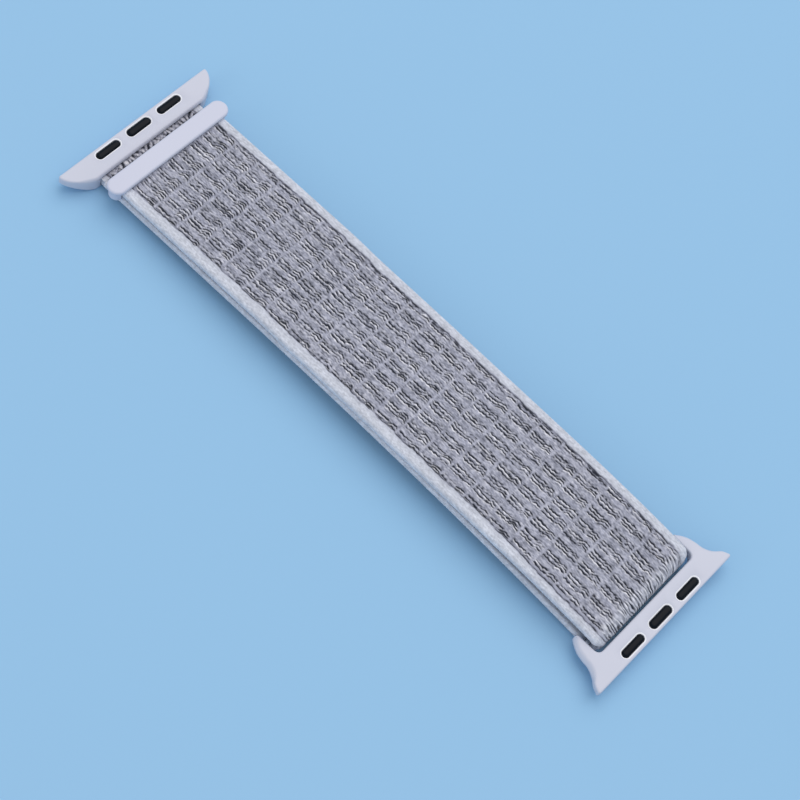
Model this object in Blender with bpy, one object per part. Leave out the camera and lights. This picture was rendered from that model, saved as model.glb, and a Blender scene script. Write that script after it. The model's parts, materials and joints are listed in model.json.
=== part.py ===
"""Hook and loop watch strap: a woven strap between a fixed lug and a slotted lug, doubled back on itself.

+X runs along the strap from the fixed lug to the slotted lug, +Y across it and +Z up. The strap lies with the
lugs' pads and the end tab facing up. The strap is one woven piece on the real object. It is divided here at
its bend lines, because a solid doesn't bend.
"""

import math

import bmesh
import bpy
from mathutils import Matrix

MM = 0.001

# Overall sizes
HALF_LENGTH = 56.1 * MM
LUG_THICKNESS = 3.0 * MM
LUG_TIP_SPAN = 31.2 * MM
STRAP_WIDTH = 21.6 * MM
LAYER = 1.35 * MM
FABRIC_GAP = 0.2 * MM
ARCH_RISE = 1.85 * MM
ARCH_SKEW_SHARE = 0.45

# Bend lines, along the run between the middle and the slotted lug's bar
BEND_SHARES = (0.59, 0.197, -0.197, -0.59)
PATCH_START_SHARE = -0.393
BEND_CUT = 0.2 * MM
PROFILE_STEP = 2.0 * MM
SELVAGE_ROUND = 0.45 * MM

# Fixed lug
FIXED_DEPTH = 4.2 * MM
FIXED_SHOULDER_WALL = 0.55 * MM
FIXED_END_POWER = 0.85
FIXED_BAR_INSET = 0.8 * MM
FIXED_BAR_RADIUS = 0.4 * MM
FIXED_BAR_SOCKET = 0.55 * MM
EYE_WALL = 0.35 * MM
EYE_CLEARANCE = 0.15 * MM
SEWN_END_INSET = 0.3 * MM
SEWN_END_REACH = 1.6 * MM
POCKET_CLEARANCE = 0.12 * MM

# Slotted lug
SLOTTED_RAIL = 3.95 * MM
SLOTTED_DEPTH = 8.3 * MM
SLOT_SIDE_CLEARANCE = 0.35 * MM
SLOT_CORNER = 0.9 * MM
SLOTTED_BAR_RADIUS = 0.5 * MM
SLOTTED_BAR_SOCKET = 0.8 * MM
FOLD_TO_RAIL = 0.45 * MM
FOLD_TO_TABLE = 0.1 * MM
EAR_SHARES = (
    (0.03, 1.0),
    (0.17, 0.877),
    (0.28, 0.7),
    (0.45, 0.537),
    (0.62, 0.49),
    (0.78, 0.411),
    (0.92, 0.264),
)
EAR_END_ROUND = 0.55 * MM

# Both lugs' bars and edges
BAR_FIT = 0.06 * MM
TOP_ROUND = 0.3 * MM
BOTTOM_ROUND = 0.4 * MM
TIP_ROUND = 0.6 * MM

# Pads and lock button
PAD_PITCH = 6.45 * MM
PAD_LENGTH = 4.5 * MM
PAD_WIDTH = 1.45 * MM
PAD_INSET = 1.3 * MM
PAD_SEAT = 0.7 * MM
PAD_PROUD = 0.1 * MM
PAD_CROWN = 0.2 * MM
SEAT_CLEARANCE = 0.1 * MM
BUTTON_PROUD = 0.25 * MM
BUTTON_TRAVEL = 0.4 * MM
STEM_LENGTH = 4.0 * MM
STEM_WIDTH = 1.0 * MM
LOCK_LEDGE = 0.4 * MM
COLLAR = 0.3 * MM
COLLAR_LENGTH = 6.0 * MM
COLLAR_WIDTH = 1.2 * MM
BASE_PLATE = 0.45 * MM
BASE_PLATE_LENGTH = 7.4 * MM
BASE_PLATE_WIDTH = 1.5 * MM
SPRING_RADIUS = 0.4 * MM
SPRING_WIRE = 0.07 * MM
SPRING_TURNS = 3

# Hook patch
PATCH_THICKNESS = 0.3 * MM
PATCH_GRIP_GAP = 0.13 * MM
PATCH_BORDER = 1.5 * MM
PATCH_EASE = 8.0 * MM
FOLD_EASE = 42.0 * MM

# End tab
TAB_WIDTH = 3.2 * MM
TAB_OVERHANG = 1.5 * MM
TAB_FROM_LUG = 1.9 * MM
TAB_BAR = 0.8 * MM
TAB_ROUND = 0.3 * MM
TAB_HEM = 0.45 * MM
PEG_RADIUS = 0.45 * MM
PEG_INSET = 3.6 * MM

# Facets, cuts and tolerances
ARC_STEPS = 8
ROUND_SIDES = 20
SPRING_TURN_STEPS = 10
OVERRUN = 0.6 * MM
SAME_POINT = 0.0001 * MM
ON_FACE = 0.001 * MM
FLAT_ANGLE = 0.0001

# Places worked out from the sizes above
STRAP_HALF = STRAP_WIDTH / 2
LUG_HALF = LUG_THICKNESS / 2
FOLD_INNER = SLOTTED_BAR_RADIUS + FABRIC_GAP
FOLD_OUTER = FOLD_INNER + LAYER
SLOTTED_BAR_REACH = SLOTTED_RAIL + FOLD_TO_RAIL + FOLD_OUTER
SLOTTED_BAR_X = HALF_LENGTH - SLOTTED_BAR_REACH
SLOTTED_BAR_Z = FOLD_TO_TABLE + FOLD_OUTER
SLOT_HALF = STRAP_HALF + SLOT_SIDE_CLEARANCE
FIXED_BAR_REACH = FIXED_DEPTH - FIXED_BAR_INSET
FIXED_BAR_X = FIXED_BAR_REACH - HALF_LENGTH
FIXED_BAR_Z = LUG_HALF
EYE_INNER = FIXED_BAR_RADIUS + EYE_CLEARANCE
EYE_OUTER = EYE_INNER + EYE_WALL
POCKET_RADIUS = EYE_OUTER + POCKET_CLEARANCE
SEWN_END_HALF = STRAP_HALF - SEWN_END_INSET
POCKET_HALF = SEWN_END_HALF + FABRIC_GAP
SEWN_END_X = FIXED_BAR_X + SEWN_END_REACH
PATCH_X = SLOTTED_BAR_X * PATCH_START_SHARE
TAB_X = -HALF_LENGTH + FIXED_DEPTH + TAB_FROM_LUG + TAB_WIDTH / 2
FREE_END_X = TAB_X - TAB_WIDTH / 2 + TAB_HEM
PATCH_END_X = TAB_X + TAB_WIDTH / 2 + FABRIC_GAP
SEAT_FLOOR = LUG_THICKNESS - PAD_SEAT
CHAMBER_TOP = SEAT_FLOOR - LOCK_LEDGE
COLLAR_TOP = CHAMBER_TOP - SEAT_CLEARANCE
COLLAR_LOW = COLLAR_TOP - COLLAR
PATCH_SPACING = LAYER + PATCH_THICKNESS + 2 * PATCH_GRIP_GAP
CLOSED_SPACING = LAYER + FABRIC_GAP
FOLD_SPACING = FOLD_INNER + FOLD_OUTER
BEND_LINES = tuple(SLOTTED_BAR_X * share for share in BEND_SHARES)

PARTS = "hook_and_loop_watch_strap"
CUTTERS = "cutters"


def clear_scene():
    """Remove every object that the scene holds."""
    for obj in list(bpy.data.objects):
        bpy.data.objects.remove(obj, do_unlink=True)


def collection(name):
    """Return a collection of the scene, made on first use."""
    found = bpy.data.collections.get(name)
    if found is None:
        found = bpy.data.collections.new(name)
        bpy.context.scene.collection.children.link(found)
    return found


def material(name, colour, roughness, metallic=0.0):
    """Return a Principled material, made on first use."""
    found = bpy.data.materials.get(name)
    if found is None:
        found = bpy.data.materials.new(name)
        found.use_nodes = True
        shader = found.node_tree.nodes["Principled BSDF"]
        shader.inputs["Base Color"].default_value = (*colour, 1.0)
        shader.inputs["Roughness"].default_value = roughness
        shader.inputs["Metallic"].default_value = metallic
    return found


def lug_moulding():
    return material("coated_lug_alloy", (0.62, 0.62, 0.72), 0.45)


def pad_rubber():
    return material("black_pad_rubber", (0.012, 0.012, 0.014), 0.5)


def bar_steel():
    return material("spring_steel", (0.55, 0.55, 0.56), 0.3, 1.0)


def strap_nylon():
    return material("woven_nylon", (0.42, 0.42, 0.45), 0.9)


def hook_nylon():
    return material("moulded_nylon_hooks", (0.5, 0.5, 0.53), 0.6)


def tab_plastic():
    return material("moulded_tab_plastic", (0.66, 0.66, 0.76), 0.4)


def arc(centre, radius, start, end, steps=ARC_STEPS):
    """Return points along an arc, its angles in degrees."""
    angles = [math.radians(start + (end - start) * i / steps) for i in range(steps + 1)]
    return [(centre[0] + radius * math.cos(a), centre[1] + radius * math.sin(a)) for a in angles]


def smooth_through(points, steps):
    """Return a Catmull-Rom curve through the points, with the ends included."""
    padded = [points[0], *points, points[-1]]
    found = []
    for before, here, there, after in zip(padded, padded[1:], padded[2:], padded[3:]):
        for i in range(steps):
            t = i / steps
            found.append(
                tuple(
                    0.5
                    * (
                        2 * q
                        + (r - p) * t
                        + (2 * p - 5 * q + 4 * r - s) * t**2
                        + (3 * q - p - 3 * r + s) * t**3
                    )
                    for p, q, r, s in zip(before, here, there, after)
                )
            )
    return [*found, points[-1]]


def mirrored(half):
    """Return a closed outline from its half at positive Y."""
    return [*half, *[(x, -y) for x, y in reversed(half)]]


def stadium(length, width, x, y=0.0):
    """Return a pill-shaped outline, long in Y."""
    radius = width / 2
    reach = length / 2 - radius
    top = arc((x, y + reach), radius, 0, 180)
    bottom = arc((x, y - reach), radius, 180, 360)
    return [*top, *bottom]


def flat_solid(name, loops, thickness, centre, upright=False):
    """Return a mesh object: the outline loops filled as a flat curve and thickened about the centre plane.

    A lying outline is in X and Y, and centre is its height. An upright one is in X and Z, and centre is its Y.
    """
    curve = bpy.data.curves.new(name, "CURVE")
    curve.dimensions = "2D"
    curve.fill_mode = "BOTH"
    curve.extrude = thickness / 2
    for loop in loops:
        spline = curve.splines.new("POLY")
        spline.points.add(len(loop) - 1)
        spline.points.foreach_set("co", [value for x, y in loop for value in (x, y, 0.0, 1.0)])
        spline.use_cyclic_u = True
    guide = bpy.data.objects.new(name + "_outline", curve)
    collection(CUTTERS).objects.link(guide)
    if upright:
        guide.rotation_euler.x = math.radians(90)
        guide.location.y = centre
    else:
        guide.location.z = centre
    return curve_to_mesh(guide, name)


def curve_to_mesh(guide, name):
    """Turn a curve object into a welded mesh object, with its place in its mesh."""
    bpy.context.view_layer.update()
    graph = bpy.context.evaluated_depsgraph_get()
    mesh = bpy.data.meshes.new_from_object(guide.evaluated_get(graph))
    mesh.transform(guide.matrix_world)
    bpy.data.objects.remove(guide, do_unlink=True)
    mesh.name = name
    edit = bmesh.new()
    edit.from_mesh(mesh)
    merge_flat_faces(edit)
    edit.to_mesh(mesh)
    edit.free()
    obj = bpy.data.objects.new(name, mesh)
    collection(PARTS).objects.link(obj)
    return obj


def merge_flat_faces(edit):
    """Weld a mesh, and make one face of faces that lie in one plane."""
    bmesh.ops.remove_doubles(edit, verts=edit.verts, dist=SAME_POINT)
    inside = [edge for edge in edit.edges if edge.calc_face_angle(1.0) < FLAT_ANGLE]
    bmesh.ops.dissolve_edges(edit, edges=inside, use_verts=False)
    bmesh.ops.recalc_face_normals(edit, faces=edit.faces)


def round_edges(obj, width, chosen, segments=2):
    """Round the edges for which chosen(edge) is true."""
    edit = bmesh.new()
    edit.from_mesh(obj.data)
    edges = [edge for edge in edit.edges if chosen(edge)]
    bmesh.ops.bevel(
        edit,
        geom=edges,
        offset=width,
        offset_type="OFFSET",
        segments=segments,
        profile=0.5,
        affect="EDGES",
        clamp_overlap=True,
    )
    bmesh.ops.remove_doubles(edit, verts=edit.verts, dist=SAME_POINT)
    bmesh.ops.recalc_face_normals(edit, faces=edit.faces)
    edit.to_mesh(obj.data)
    edit.free()
    return obj


def rim_at(height):
    """Choose the edges of a lying solid's rim at a height."""
    return lambda edge: all(abs(v.co.z - height) < ON_FACE for v in edge.verts) and len(
        {round(face.normal.z, 3) for face in edge.link_faces}
    ) == 2


def selvage_edge(half_width):
    """Choose the long edges of a strap solid, at either side of its width."""

    def chosen(edge):
        first, second = edge.verts
        on_side = all(abs(abs(v.co.y) - half_width) < ON_FACE for v in edge.verts)
        along = abs(first.co.x - second.co.x) > abs(first.co.z - second.co.z)
        return on_side and along and first.co.y * second.co.y > 0

    return chosen


def rod(name, x, z, radius, half_length):
    """Return a round bar along Y."""
    edit = bmesh.new()
    turn = Matrix.Translation((x, 0, z)) @ Matrix.Rotation(math.radians(90), 4, "X")
    bmesh.ops.create_cone(
        edit,
        cap_ends=True,
        segments=ROUND_SIDES,
        radius1=radius,
        radius2=radius,
        depth=2 * half_length,
        matrix=turn,
    )
    mesh = bpy.data.meshes.new(name)
    edit.to_mesh(mesh)
    edit.free()
    obj = bpy.data.objects.new(name, mesh)
    collection(PARTS).objects.link(obj)
    return obj


def join(obj, other):
    """Unite another solid with this one, and remove the other."""
    boolean(obj, other, "UNION")


def cut(obj, cutter):
    """Cut a solid from this one, and remove the cutter."""
    boolean(obj, cutter, "DIFFERENCE")


def boolean(obj, other, operation):
    """Apply an exact Boolean with another solid, which is then removed."""
    collection(PARTS).objects.unlink(other)
    collection(CUTTERS).objects.link(other)
    other.hide_render = True
    other.display_type = "WIRE"
    step = obj.modifiers.new(operation.lower(), "BOOLEAN")
    step.operation = operation
    step.solver = "EXACT"
    step.object = other
    graph = bpy.context.evaluated_depsgraph_get()
    graph.update()
    mesh = bpy.data.meshes.new_from_object(obj.evaluated_get(graph))
    mesh.name = obj.name
    obj.modifiers.clear()
    obj.data = mesh
    bpy.data.objects.remove(other, do_unlink=True)


def finish(obj, finish_material, joint, made_at=0.0):
    """Give a piece its material and shading, and hang it on its joint's empty with its origin there.

    made_at is the X place of the origin that the piece was modelled about.
    """
    obj.data.materials.clear()
    obj.data.materials.append(finish_material)
    obj.data.shade_smooth()
    obj.data.set_sharp_from_angle(angle=math.radians(32))
    obj.data.transform(Matrix.Translation((made_at, 0.0, 0.0)))
    obj.data.transform(Matrix.Translation(-joint.matrix_world.translation))
    obj.parent = joint
    return obj


def joint_empty(name, place, parent=None):
    """Return an empty on a joint's axis, hung on the empty of the body that carries it."""
    empty = bpy.data.objects.new(name, None)
    empty.empty_display_size = LAYER
    collection(PARTS).objects.link(empty)
    empty.parent = parent
    carried = parent.matrix_world.translation if parent else (0, 0, 0)
    empty.location = [a - b for a, b in zip(place, carried)]
    bpy.context.view_layer.update()
    return empty


def eased(value):
    """Return a smooth step from 0 to 1."""
    share = min(1.0, max(0.0, value))
    return share * share * (3 - 2 * share)


def lower_height(x):
    """Height of the lower layer's middle: a low arch between the two lugs' bars."""
    along = (x - FIXED_BAR_X) / (SLOTTED_BAR_X - FIXED_BAR_X)
    fold_height = SLOTTED_BAR_Z - FOLD_SPACING / 2
    straight = FIXED_BAR_Z + (fold_height - FIXED_BAR_Z) * along
    u = 2 * along - 1
    return straight + ARCH_RISE * (1 - u * u) * (1 + ARCH_SKEW_SHARE * u)


def upper_height(x):
    """Height of the upper layer's middle: it opens round the bar, and over the hook patch."""
    at_fold = eased((x - SLOTTED_BAR_X + FOLD_EASE) / FOLD_EASE)
    at_patch = eased((PATCH_X + PATCH_EASE - x) / PATCH_EASE)
    spacing = CLOSED_SPACING
    spacing += (FOLD_SPACING - CLOSED_SPACING) * at_fold
    spacing += (PATCH_SPACING - CLOSED_SPACING) * at_patch
    return lower_height(x) + spacing


def patch_height(x):
    """Height of the hook patch's middle, under the upper layer."""
    return upper_height(x) - LAYER / 2 - PATCH_GRIP_GAP - PATCH_THICKNESS / 2


def top_of_strap(x):
    return upper_height(x) + LAYER / 2


def run_between(start, end, height, thickness):
    """Return the side outline of a layer between two places along the strap."""
    steps = max(2, round((end - start) / PROFILE_STEP))
    places = [start + (end - start) * i / steps for i in range(steps + 1)]
    below = [(x, height(x) - thickness / 2) for x in places]
    above = [(x, height(x) + thickness / 2) for x in reversed(places)]
    return [*below, *above]


def strap_run(name, start, end, height, joint):
    """Make one stretch of a layer of the strap."""
    outline = run_between(start + BEND_CUT / 2, end - BEND_CUT / 2, height, LAYER)
    obj = flat_solid(name, [outline], STRAP_WIDTH, 0.0, upright=True)
    round_edges(obj, SELVAGE_ROUND, selvage_edge(STRAP_HALF))
    return finish(obj, strap_nylon(), joint)


def strap_fold(joint):
    """Make the half turn of the strap round the slotted lug's bar."""
    centre = (SLOTTED_BAR_X, SLOTTED_BAR_Z)
    outer_start = math.degrees(math.acos(BEND_CUT / 2 / FOLD_OUTER))
    inner_start = math.degrees(math.acos(BEND_CUT / 2 / FOLD_INNER))
    outline = [
        *arc(centre, FOLD_OUTER, -outer_start, outer_start, 2 * ARC_STEPS),
        *arc(centre, FOLD_INNER, inner_start, -inner_start, ARC_STEPS),
    ]
    obj = flat_solid("strap_fold", [outline], STRAP_WIDTH, 0.0, upright=True)
    round_edges(obj, SELVAGE_ROUND, fold_rim())
    return finish(obj, strap_nylon(), joint)


def fold_rim():
    """Choose the fold's outer curved edges, at either side of its width."""

    def chosen(edge):
        on_side = all(abs(abs(v.co.y) - STRAP_HALF) < ON_FACE for v in edge.verts)
        reach = [math.hypot(v.co.x - SLOTTED_BAR_X, v.co.z - SLOTTED_BAR_Z) for v in edge.verts]
        same_side = edge.verts[0].co.y * edge.verts[1].co.y > 0
        return on_side and same_side and min(reach) > FOLD_OUTER - ON_FACE

    return chosen


def sewn_end(joint):
    """Make the strap's sewn end, whose woven channel holds the fixed lug's bar."""
    centre = (FIXED_BAR_X, FIXED_BAR_Z)
    tongue_angle = math.degrees(math.asin(LAYER / 2 / EYE_OUTER))
    tongue_end = SEWN_END_X - BEND_CUT / 2
    end_height = lower_height(tongue_end)
    outline = [
        *arc(centre, EYE_OUTER, tongue_angle, 360 - tongue_angle, 2 * ARC_STEPS),
        (tongue_end, end_height - LAYER / 2),
        (tongue_end, end_height + LAYER / 2),
    ]
    channel = arc(centre, EYE_INNER, 0, 360 - 360 / ROUND_SIDES, ROUND_SIDES - 1)
    obj = flat_solid("strap_sewn_end", [outline, channel], 2 * SEWN_END_HALF, 0.0, upright=True)
    return finish(obj, strap_nylon(), joint)


def hook_patch(name, start, end, joint):
    """Make one stretch of the hook patch under the free end."""
    outline = run_between(start, end, patch_height, PATCH_THICKNESS)
    width = STRAP_WIDTH - 2 * PATCH_BORDER
    obj = flat_solid(name, [outline], width, 0.0, upright=True)
    return finish(obj, hook_nylon(), joint)


def fixed_lug_outline():
    """Canoe-shaped outline from the outer wall at X zero: ends that curve in to the strap."""
    tip = LUG_TIP_SPAN / 2
    shoulder = POCKET_HALF + FIXED_SHOULDER_WALL
    half = arc((TIP_ROUND, tip - TIP_ROUND), TIP_ROUND, 180, 100, 3)
    steps = 2 * ARC_STEPS
    for i in range(2, steps + 1):
        share = math.sin(math.radians(90 * i / steps))
        reach = (1 - share**2) ** FIXED_END_POWER
        half.append((FIXED_DEPTH * share, shoulder + (tip - shoulder) * reach))
    return mirrored(half)


def slotted_lug_outline():
    """Rail with flared tips, its outer wall at X zero, and two ears that run back beside the strap."""
    tip = LUG_TIP_SPAN / 2
    flare = tip - SLOT_HALF
    ear = [(-SLOTTED_DEPTH * u, SLOT_HALF + flare * v) for u, v in EAR_SHARES]
    ear_inner = SLOT_HALF + EAR_END_ROUND
    half = [(0.0, tip - TIP_ROUND)]
    half += smooth_through(ear, 3)
    half += arc((EAR_END_ROUND - SLOTTED_DEPTH, ear_inner), EAR_END_ROUND, 180, 270, 4)
    half += arc((-SLOTTED_RAIL - SLOT_CORNER, SLOT_HALF - SLOT_CORNER), SLOT_CORNER, 90, 0, 5)
    return mirrored(half)


def lug_body(name, outline):
    """Make a lug's body with its rounded rims, before its pockets are cut."""
    obj = flat_solid(name, [outline], LUG_THICKNESS, LUG_HALF)
    round_edges(obj, TOP_ROUND, rim_at(LUG_THICKNESS))
    round_edges(obj, BOTTOM_ROUND, rim_at(0.0))
    return obj


def pocket(length, width, x, y, low, high):
    """Return a pill-shaped cutter between two heights."""
    return flat_solid("pocket", [stadium(length, width, x, y)], high - low, (low + high) / 2)


def cut_lock_and_pad_pockets(body, x):
    """Cut the two pad seats, the lock button's slot and chamber, and the base plate's recess."""
    around = 2 * SEAT_CLEARANCE
    above = LUG_THICKNESS + OVERRUN
    recess_top = BASE_PLATE + SEAT_CLEARANCE
    for y in (-PAD_PITCH, 0.0, PAD_PITCH):
        cut(body, pocket(PAD_LENGTH + around, PAD_WIDTH + around, x, y, SEAT_FLOOR, above))
    cut(body, pocket(BASE_PLATE_LENGTH + around, BASE_PLATE_WIDTH + around, x, 0.0, -OVERRUN, recess_top))
    cut(body, pocket(COLLAR_LENGTH + around, COLLAR_WIDTH + around, x, 0.0, BASE_PLATE, CHAMBER_TOP))
    low, high = CHAMBER_TOP - SEAT_CLEARANCE, SEAT_FLOOR + SEAT_CLEARANCE
    cut(body, pocket(STEM_LENGTH + around, STEM_WIDTH + around, x, 0.0, low, high))


def friction_pad(name, x, y, joint, made_at):
    """Make a rubber pad that sits in its seat and stands a little proud."""
    low = SEAT_FLOOR + SEAT_CLEARANCE
    high = LUG_THICKNESS + PAD_PROUD
    obj = pocket(PAD_LENGTH, PAD_WIDTH, x, y, low, high)
    obj.name = name
    round_edges(obj, PAD_CROWN, rim_at(high))
    return finish(obj, pad_rubber(), joint, made_at)


def lock_button(name, x, joint, made_at):
    """Make the sprung lock button: a head in its seat, a stem, and a long collar that stays under the ledge."""
    low = SEAT_FLOOR + BUTTON_TRAVEL + SEAT_CLEARANCE
    high = LUG_THICKNESS + BUTTON_PROUD
    obj = pocket(PAD_LENGTH, PAD_WIDTH, x, 0.0, low, high)
    obj.name = name
    round_edges(obj, PAD_CROWN, rim_at(high))
    join(obj, pocket(STEM_LENGTH, STEM_WIDTH, x, 0.0, COLLAR_TOP - SEAT_CLEARANCE, low + SEAT_CLEARANCE))
    join(obj, pocket(COLLAR_LENGTH, COLLAR_WIDTH, x, 0.0, COLLAR_LOW, COLLAR_TOP))
    return finish(obj, pad_rubber(), joint, made_at)


def lock_spring(name, x, joint, made_at):
    """Make the coil spring between the base plate and the lock button's collar."""
    low = BASE_PLATE + SEAT_CLEARANCE + SPRING_WIRE
    high = COLLAR_LOW - SEAT_CLEARANCE - SPRING_WIRE
    steps = SPRING_TURNS * SPRING_TURN_STEPS
    curve = bpy.data.curves.new(name, "CURVE")
    curve.dimensions = "3D"
    curve.bevel_depth = SPRING_WIRE
    curve.bevel_resolution = 1
    curve.use_fill_caps = True
    spline = curve.splines.new("POLY")
    spline.points.add(steps)
    for i, point in enumerate(spline.points):
        turn = 2 * math.pi * SPRING_TURNS * i / steps
        height = low + (high - low) * i / steps
        place = (x + SPRING_RADIUS * math.cos(turn), SPRING_RADIUS * math.sin(turn), height)
        point.co = (*place, 1.0)
    guide = bpy.data.objects.new(name + "_path", curve)
    collection(CUTTERS).objects.link(guide)
    return finish(curve_to_mesh(guide, name), bar_steel(), joint, made_at)


def base_plate(name, x, joint, made_at):
    """Make the plate under the lug that closes the spring's chamber."""
    obj = pocket(BASE_PLATE_LENGTH, BASE_PLATE_WIDTH, x, 0.0, 0.0, BASE_PLATE)
    obj.name = name
    return finish(obj, lug_moulding(), joint, made_at)


def lug_fittings(prefix, x, lug_joint, button_joint, made_at):
    """Make the pieces that both lugs hold."""
    friction_pad(prefix + "_friction_pad_left", x, -PAD_PITCH, lug_joint, made_at)
    friction_pad(prefix + "_friction_pad_right", x, PAD_PITCH, lug_joint, made_at)
    lock_button(prefix + "_lock_button", x, button_joint, made_at)
    lock_spring(prefix + "_lock_spring", x, lug_joint, made_at)
    base_plate(prefix + "_base_plate", x, lug_joint, made_at)


def lug_crossbar(name, body, x, z, radius, reach, joint, made_at):
    """Cut the blind sockets of a lug's crossbar in its body, and make the crossbar."""
    cut(body, rod("socket", x, z, radius + BAR_FIT, reach + BAR_FIT))
    finish(rod(name, x, z, radius, reach), bar_steel(), joint, made_at)


def fixed_lug(lug_joint, button_joint):
    """Make the lug that the strap's sewn end is fastened in, its outer wall at X zero until it is placed."""
    place = -HALF_LENGTH
    bar_x = FIXED_BAR_REACH
    body = lug_body("fixed_lug_body", fixed_lug_outline())
    mouth = FIXED_DEPTH + OVERRUN
    channel = [
        *arc((bar_x, FIXED_BAR_Z), POCKET_RADIUS, 90, 270, 2 * ARC_STEPS),
        (mouth, FIXED_BAR_Z - POCKET_RADIUS),
        (mouth, FIXED_BAR_Z + POCKET_RADIUS),
    ]
    cut(body, flat_solid("pocket", [channel], 2 * POCKET_HALF, 0.0, upright=True))
    reach = POCKET_HALF + FIXED_BAR_SOCKET
    lug_crossbar(
        "fixed_lug_crossbar", body, bar_x, FIXED_BAR_Z, FIXED_BAR_RADIUS, reach, lug_joint, place
    )
    cut_lock_and_pad_pockets(body, PAD_INSET)
    finish(body, lug_moulding(), lug_joint, place)
    lug_fittings("fixed_lug", PAD_INSET, lug_joint, button_joint, place)


def slotted_lug(lug_joint, button_joint):
    """Make the lug that the strap folds back through, its outer wall at X zero until it is placed."""
    place = HALF_LENGTH
    bar_x = -SLOTTED_BAR_REACH
    body = lug_body("slotted_lug_body", slotted_lug_outline())
    reach = SLOT_HALF + SLOTTED_BAR_SOCKET
    lug_crossbar(
        "slotted_lug_crossbar", body, bar_x, SLOTTED_BAR_Z, SLOTTED_BAR_RADIUS, reach, lug_joint, place
    )
    cut_lock_and_pad_pockets(body, -PAD_INSET)
    finish(body, lug_moulding(), lug_joint, place)
    lug_fittings("slotted_lug", -PAD_INSET, lug_joint, button_joint, place)


def end_tab(free_end, joint):
    """Make the two-piece tab that is pegged through the strap's free end, and the pegs' holes."""
    length = STRAP_WIDTH + 2 * TAB_OVERHANG
    top_of_end = max(top_of_strap(TAB_X - TAB_WIDTH / 2), top_of_strap(TAB_X + TAB_WIDTH / 2))
    under_end = upper_height(TAB_X) - LAYER / 2
    bar_low = top_of_end + SEAT_CLEARANCE
    base_high = under_end - SEAT_CLEARANCE
    base_low = base_high - PATCH_THICKNESS
    top_bar = pocket(length, TAB_WIDTH, TAB_X, 0.0, bar_low, bar_low + TAB_BAR)
    top_bar.name = "end_tab_top_bar"
    round_edges(top_bar, TAB_ROUND, rim_at(bar_low + TAB_BAR))
    finish(top_bar, tab_plastic(), joint)
    bottom_bar = pocket(length, TAB_WIDTH, TAB_X, 0.0, base_low, bar_low - SEAT_CLEARANCE)
    bottom_bar.name = "end_tab_bottom_bar"
    bay = [
        (TAB_X - TAB_WIDTH, STRAP_HALF + FABRIC_GAP),
        (TAB_X + TAB_WIDTH, STRAP_HALF + FABRIC_GAP),
        (TAB_X + TAB_WIDTH, -STRAP_HALF - FABRIC_GAP),
        (TAB_X - TAB_WIDTH, -STRAP_HALF - FABRIC_GAP),
    ]
    bay_top = bar_low + TAB_BAR
    cut(bottom_bar, flat_solid("bay", [bay], bay_top - base_high, (bay_top + base_high) / 2))
    finish(bottom_bar, tab_plastic(), joint)
    low = base_high + SEAT_CLEARANCE
    high = bar_low - SEAT_CLEARANCE
    wide = 2 * (PEG_RADIUS + SEAT_CLEARANCE)
    peg_y = STRAP_HALF - PEG_INSET
    for side, y in (("left", -peg_y), ("middle", 0.0), ("right", peg_y)):
        peg = pocket(2 * PEG_RADIUS, 2 * PEG_RADIUS, TAB_X, y, low, high)
        peg.name = "end_tab_peg_" + side
        finish(peg, tab_plastic(), joint)
        cut(free_end, pocket(wide, wide, TAB_X, y, low - OVERRUN, high + OVERRUN))


def bend_joint(name, x, parent):
    """Return the empty of a bend line, whose axis lies on the strap's top face."""
    return joint_empty(name, (x, 0.0, top_of_strap(x)), parent)


def lower_layer(middle):
    """Make the lower layer outwards from its middle stretch, and return its two end joints."""
    slotted_bend, right_bend, left_bend, fixed_bend = BEND_LINES
    right = bend_joint("lower_bend_2", right_bend, middle)
    slotted_end = bend_joint("lower_bend_1", slotted_bend, right)
    left = bend_joint("lower_bend_4", left_bend, middle)
    fixed_end = bend_joint("lower_bend_5", fixed_bend, left)
    strap_run("strap_lower_1", slotted_bend, SLOTTED_BAR_X, lower_height, slotted_end)
    strap_run("strap_lower_2", right_bend, slotted_bend, lower_height, right)
    strap_run("strap_lower_3", left_bend, right_bend, lower_height, middle)
    strap_run("strap_lower_4", fixed_bend, left_bend, lower_height, left)
    strap_run("strap_lower_5", SEWN_END_X, fixed_bend, lower_height, fixed_end)
    return slotted_end, fixed_end


def upper_layer(slotted_end):
    """Make the upper layer from the fold to the free end."""
    slotted_bend, right_bend, left_bend, fixed_bend = BEND_LINES
    first = joint_empty("fold_line", (SLOTTED_BAR_X, 0.0, SLOTTED_BAR_Z), slotted_end)
    second = bend_joint("upper_bend_2", slotted_bend, first)
    third = bend_joint("upper_bend_3", right_bend, second)
    fourth = bend_joint("upper_bend_4", left_bend, third)
    peeled = bend_joint("peel_line", PATCH_X, fourth)
    free = bend_joint("free_end_bend", fixed_bend, peeled)
    strap_run("strap_upper_1", slotted_bend, SLOTTED_BAR_X, upper_height, first)
    strap_run("strap_upper_2", right_bend, slotted_bend, upper_height, second)
    strap_run("strap_upper_3", left_bend, right_bend, upper_height, third)
    strap_run("strap_upper_4", PATCH_X, left_bend, upper_height, fourth)
    strap_run("strap_free_end_1", fixed_bend, PATCH_X, upper_height, peeled)
    free_end = strap_run("strap_free_end_2", FREE_END_X, fixed_bend, upper_height, free)
    hook_patch("hook_patch_1", fixed_bend + BEND_CUT, PATCH_X - BEND_CUT, peeled)
    hook_patch("hook_patch_2", PATCH_END_X, fixed_bend - BEND_CUT, free)
    return free_end, free


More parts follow.
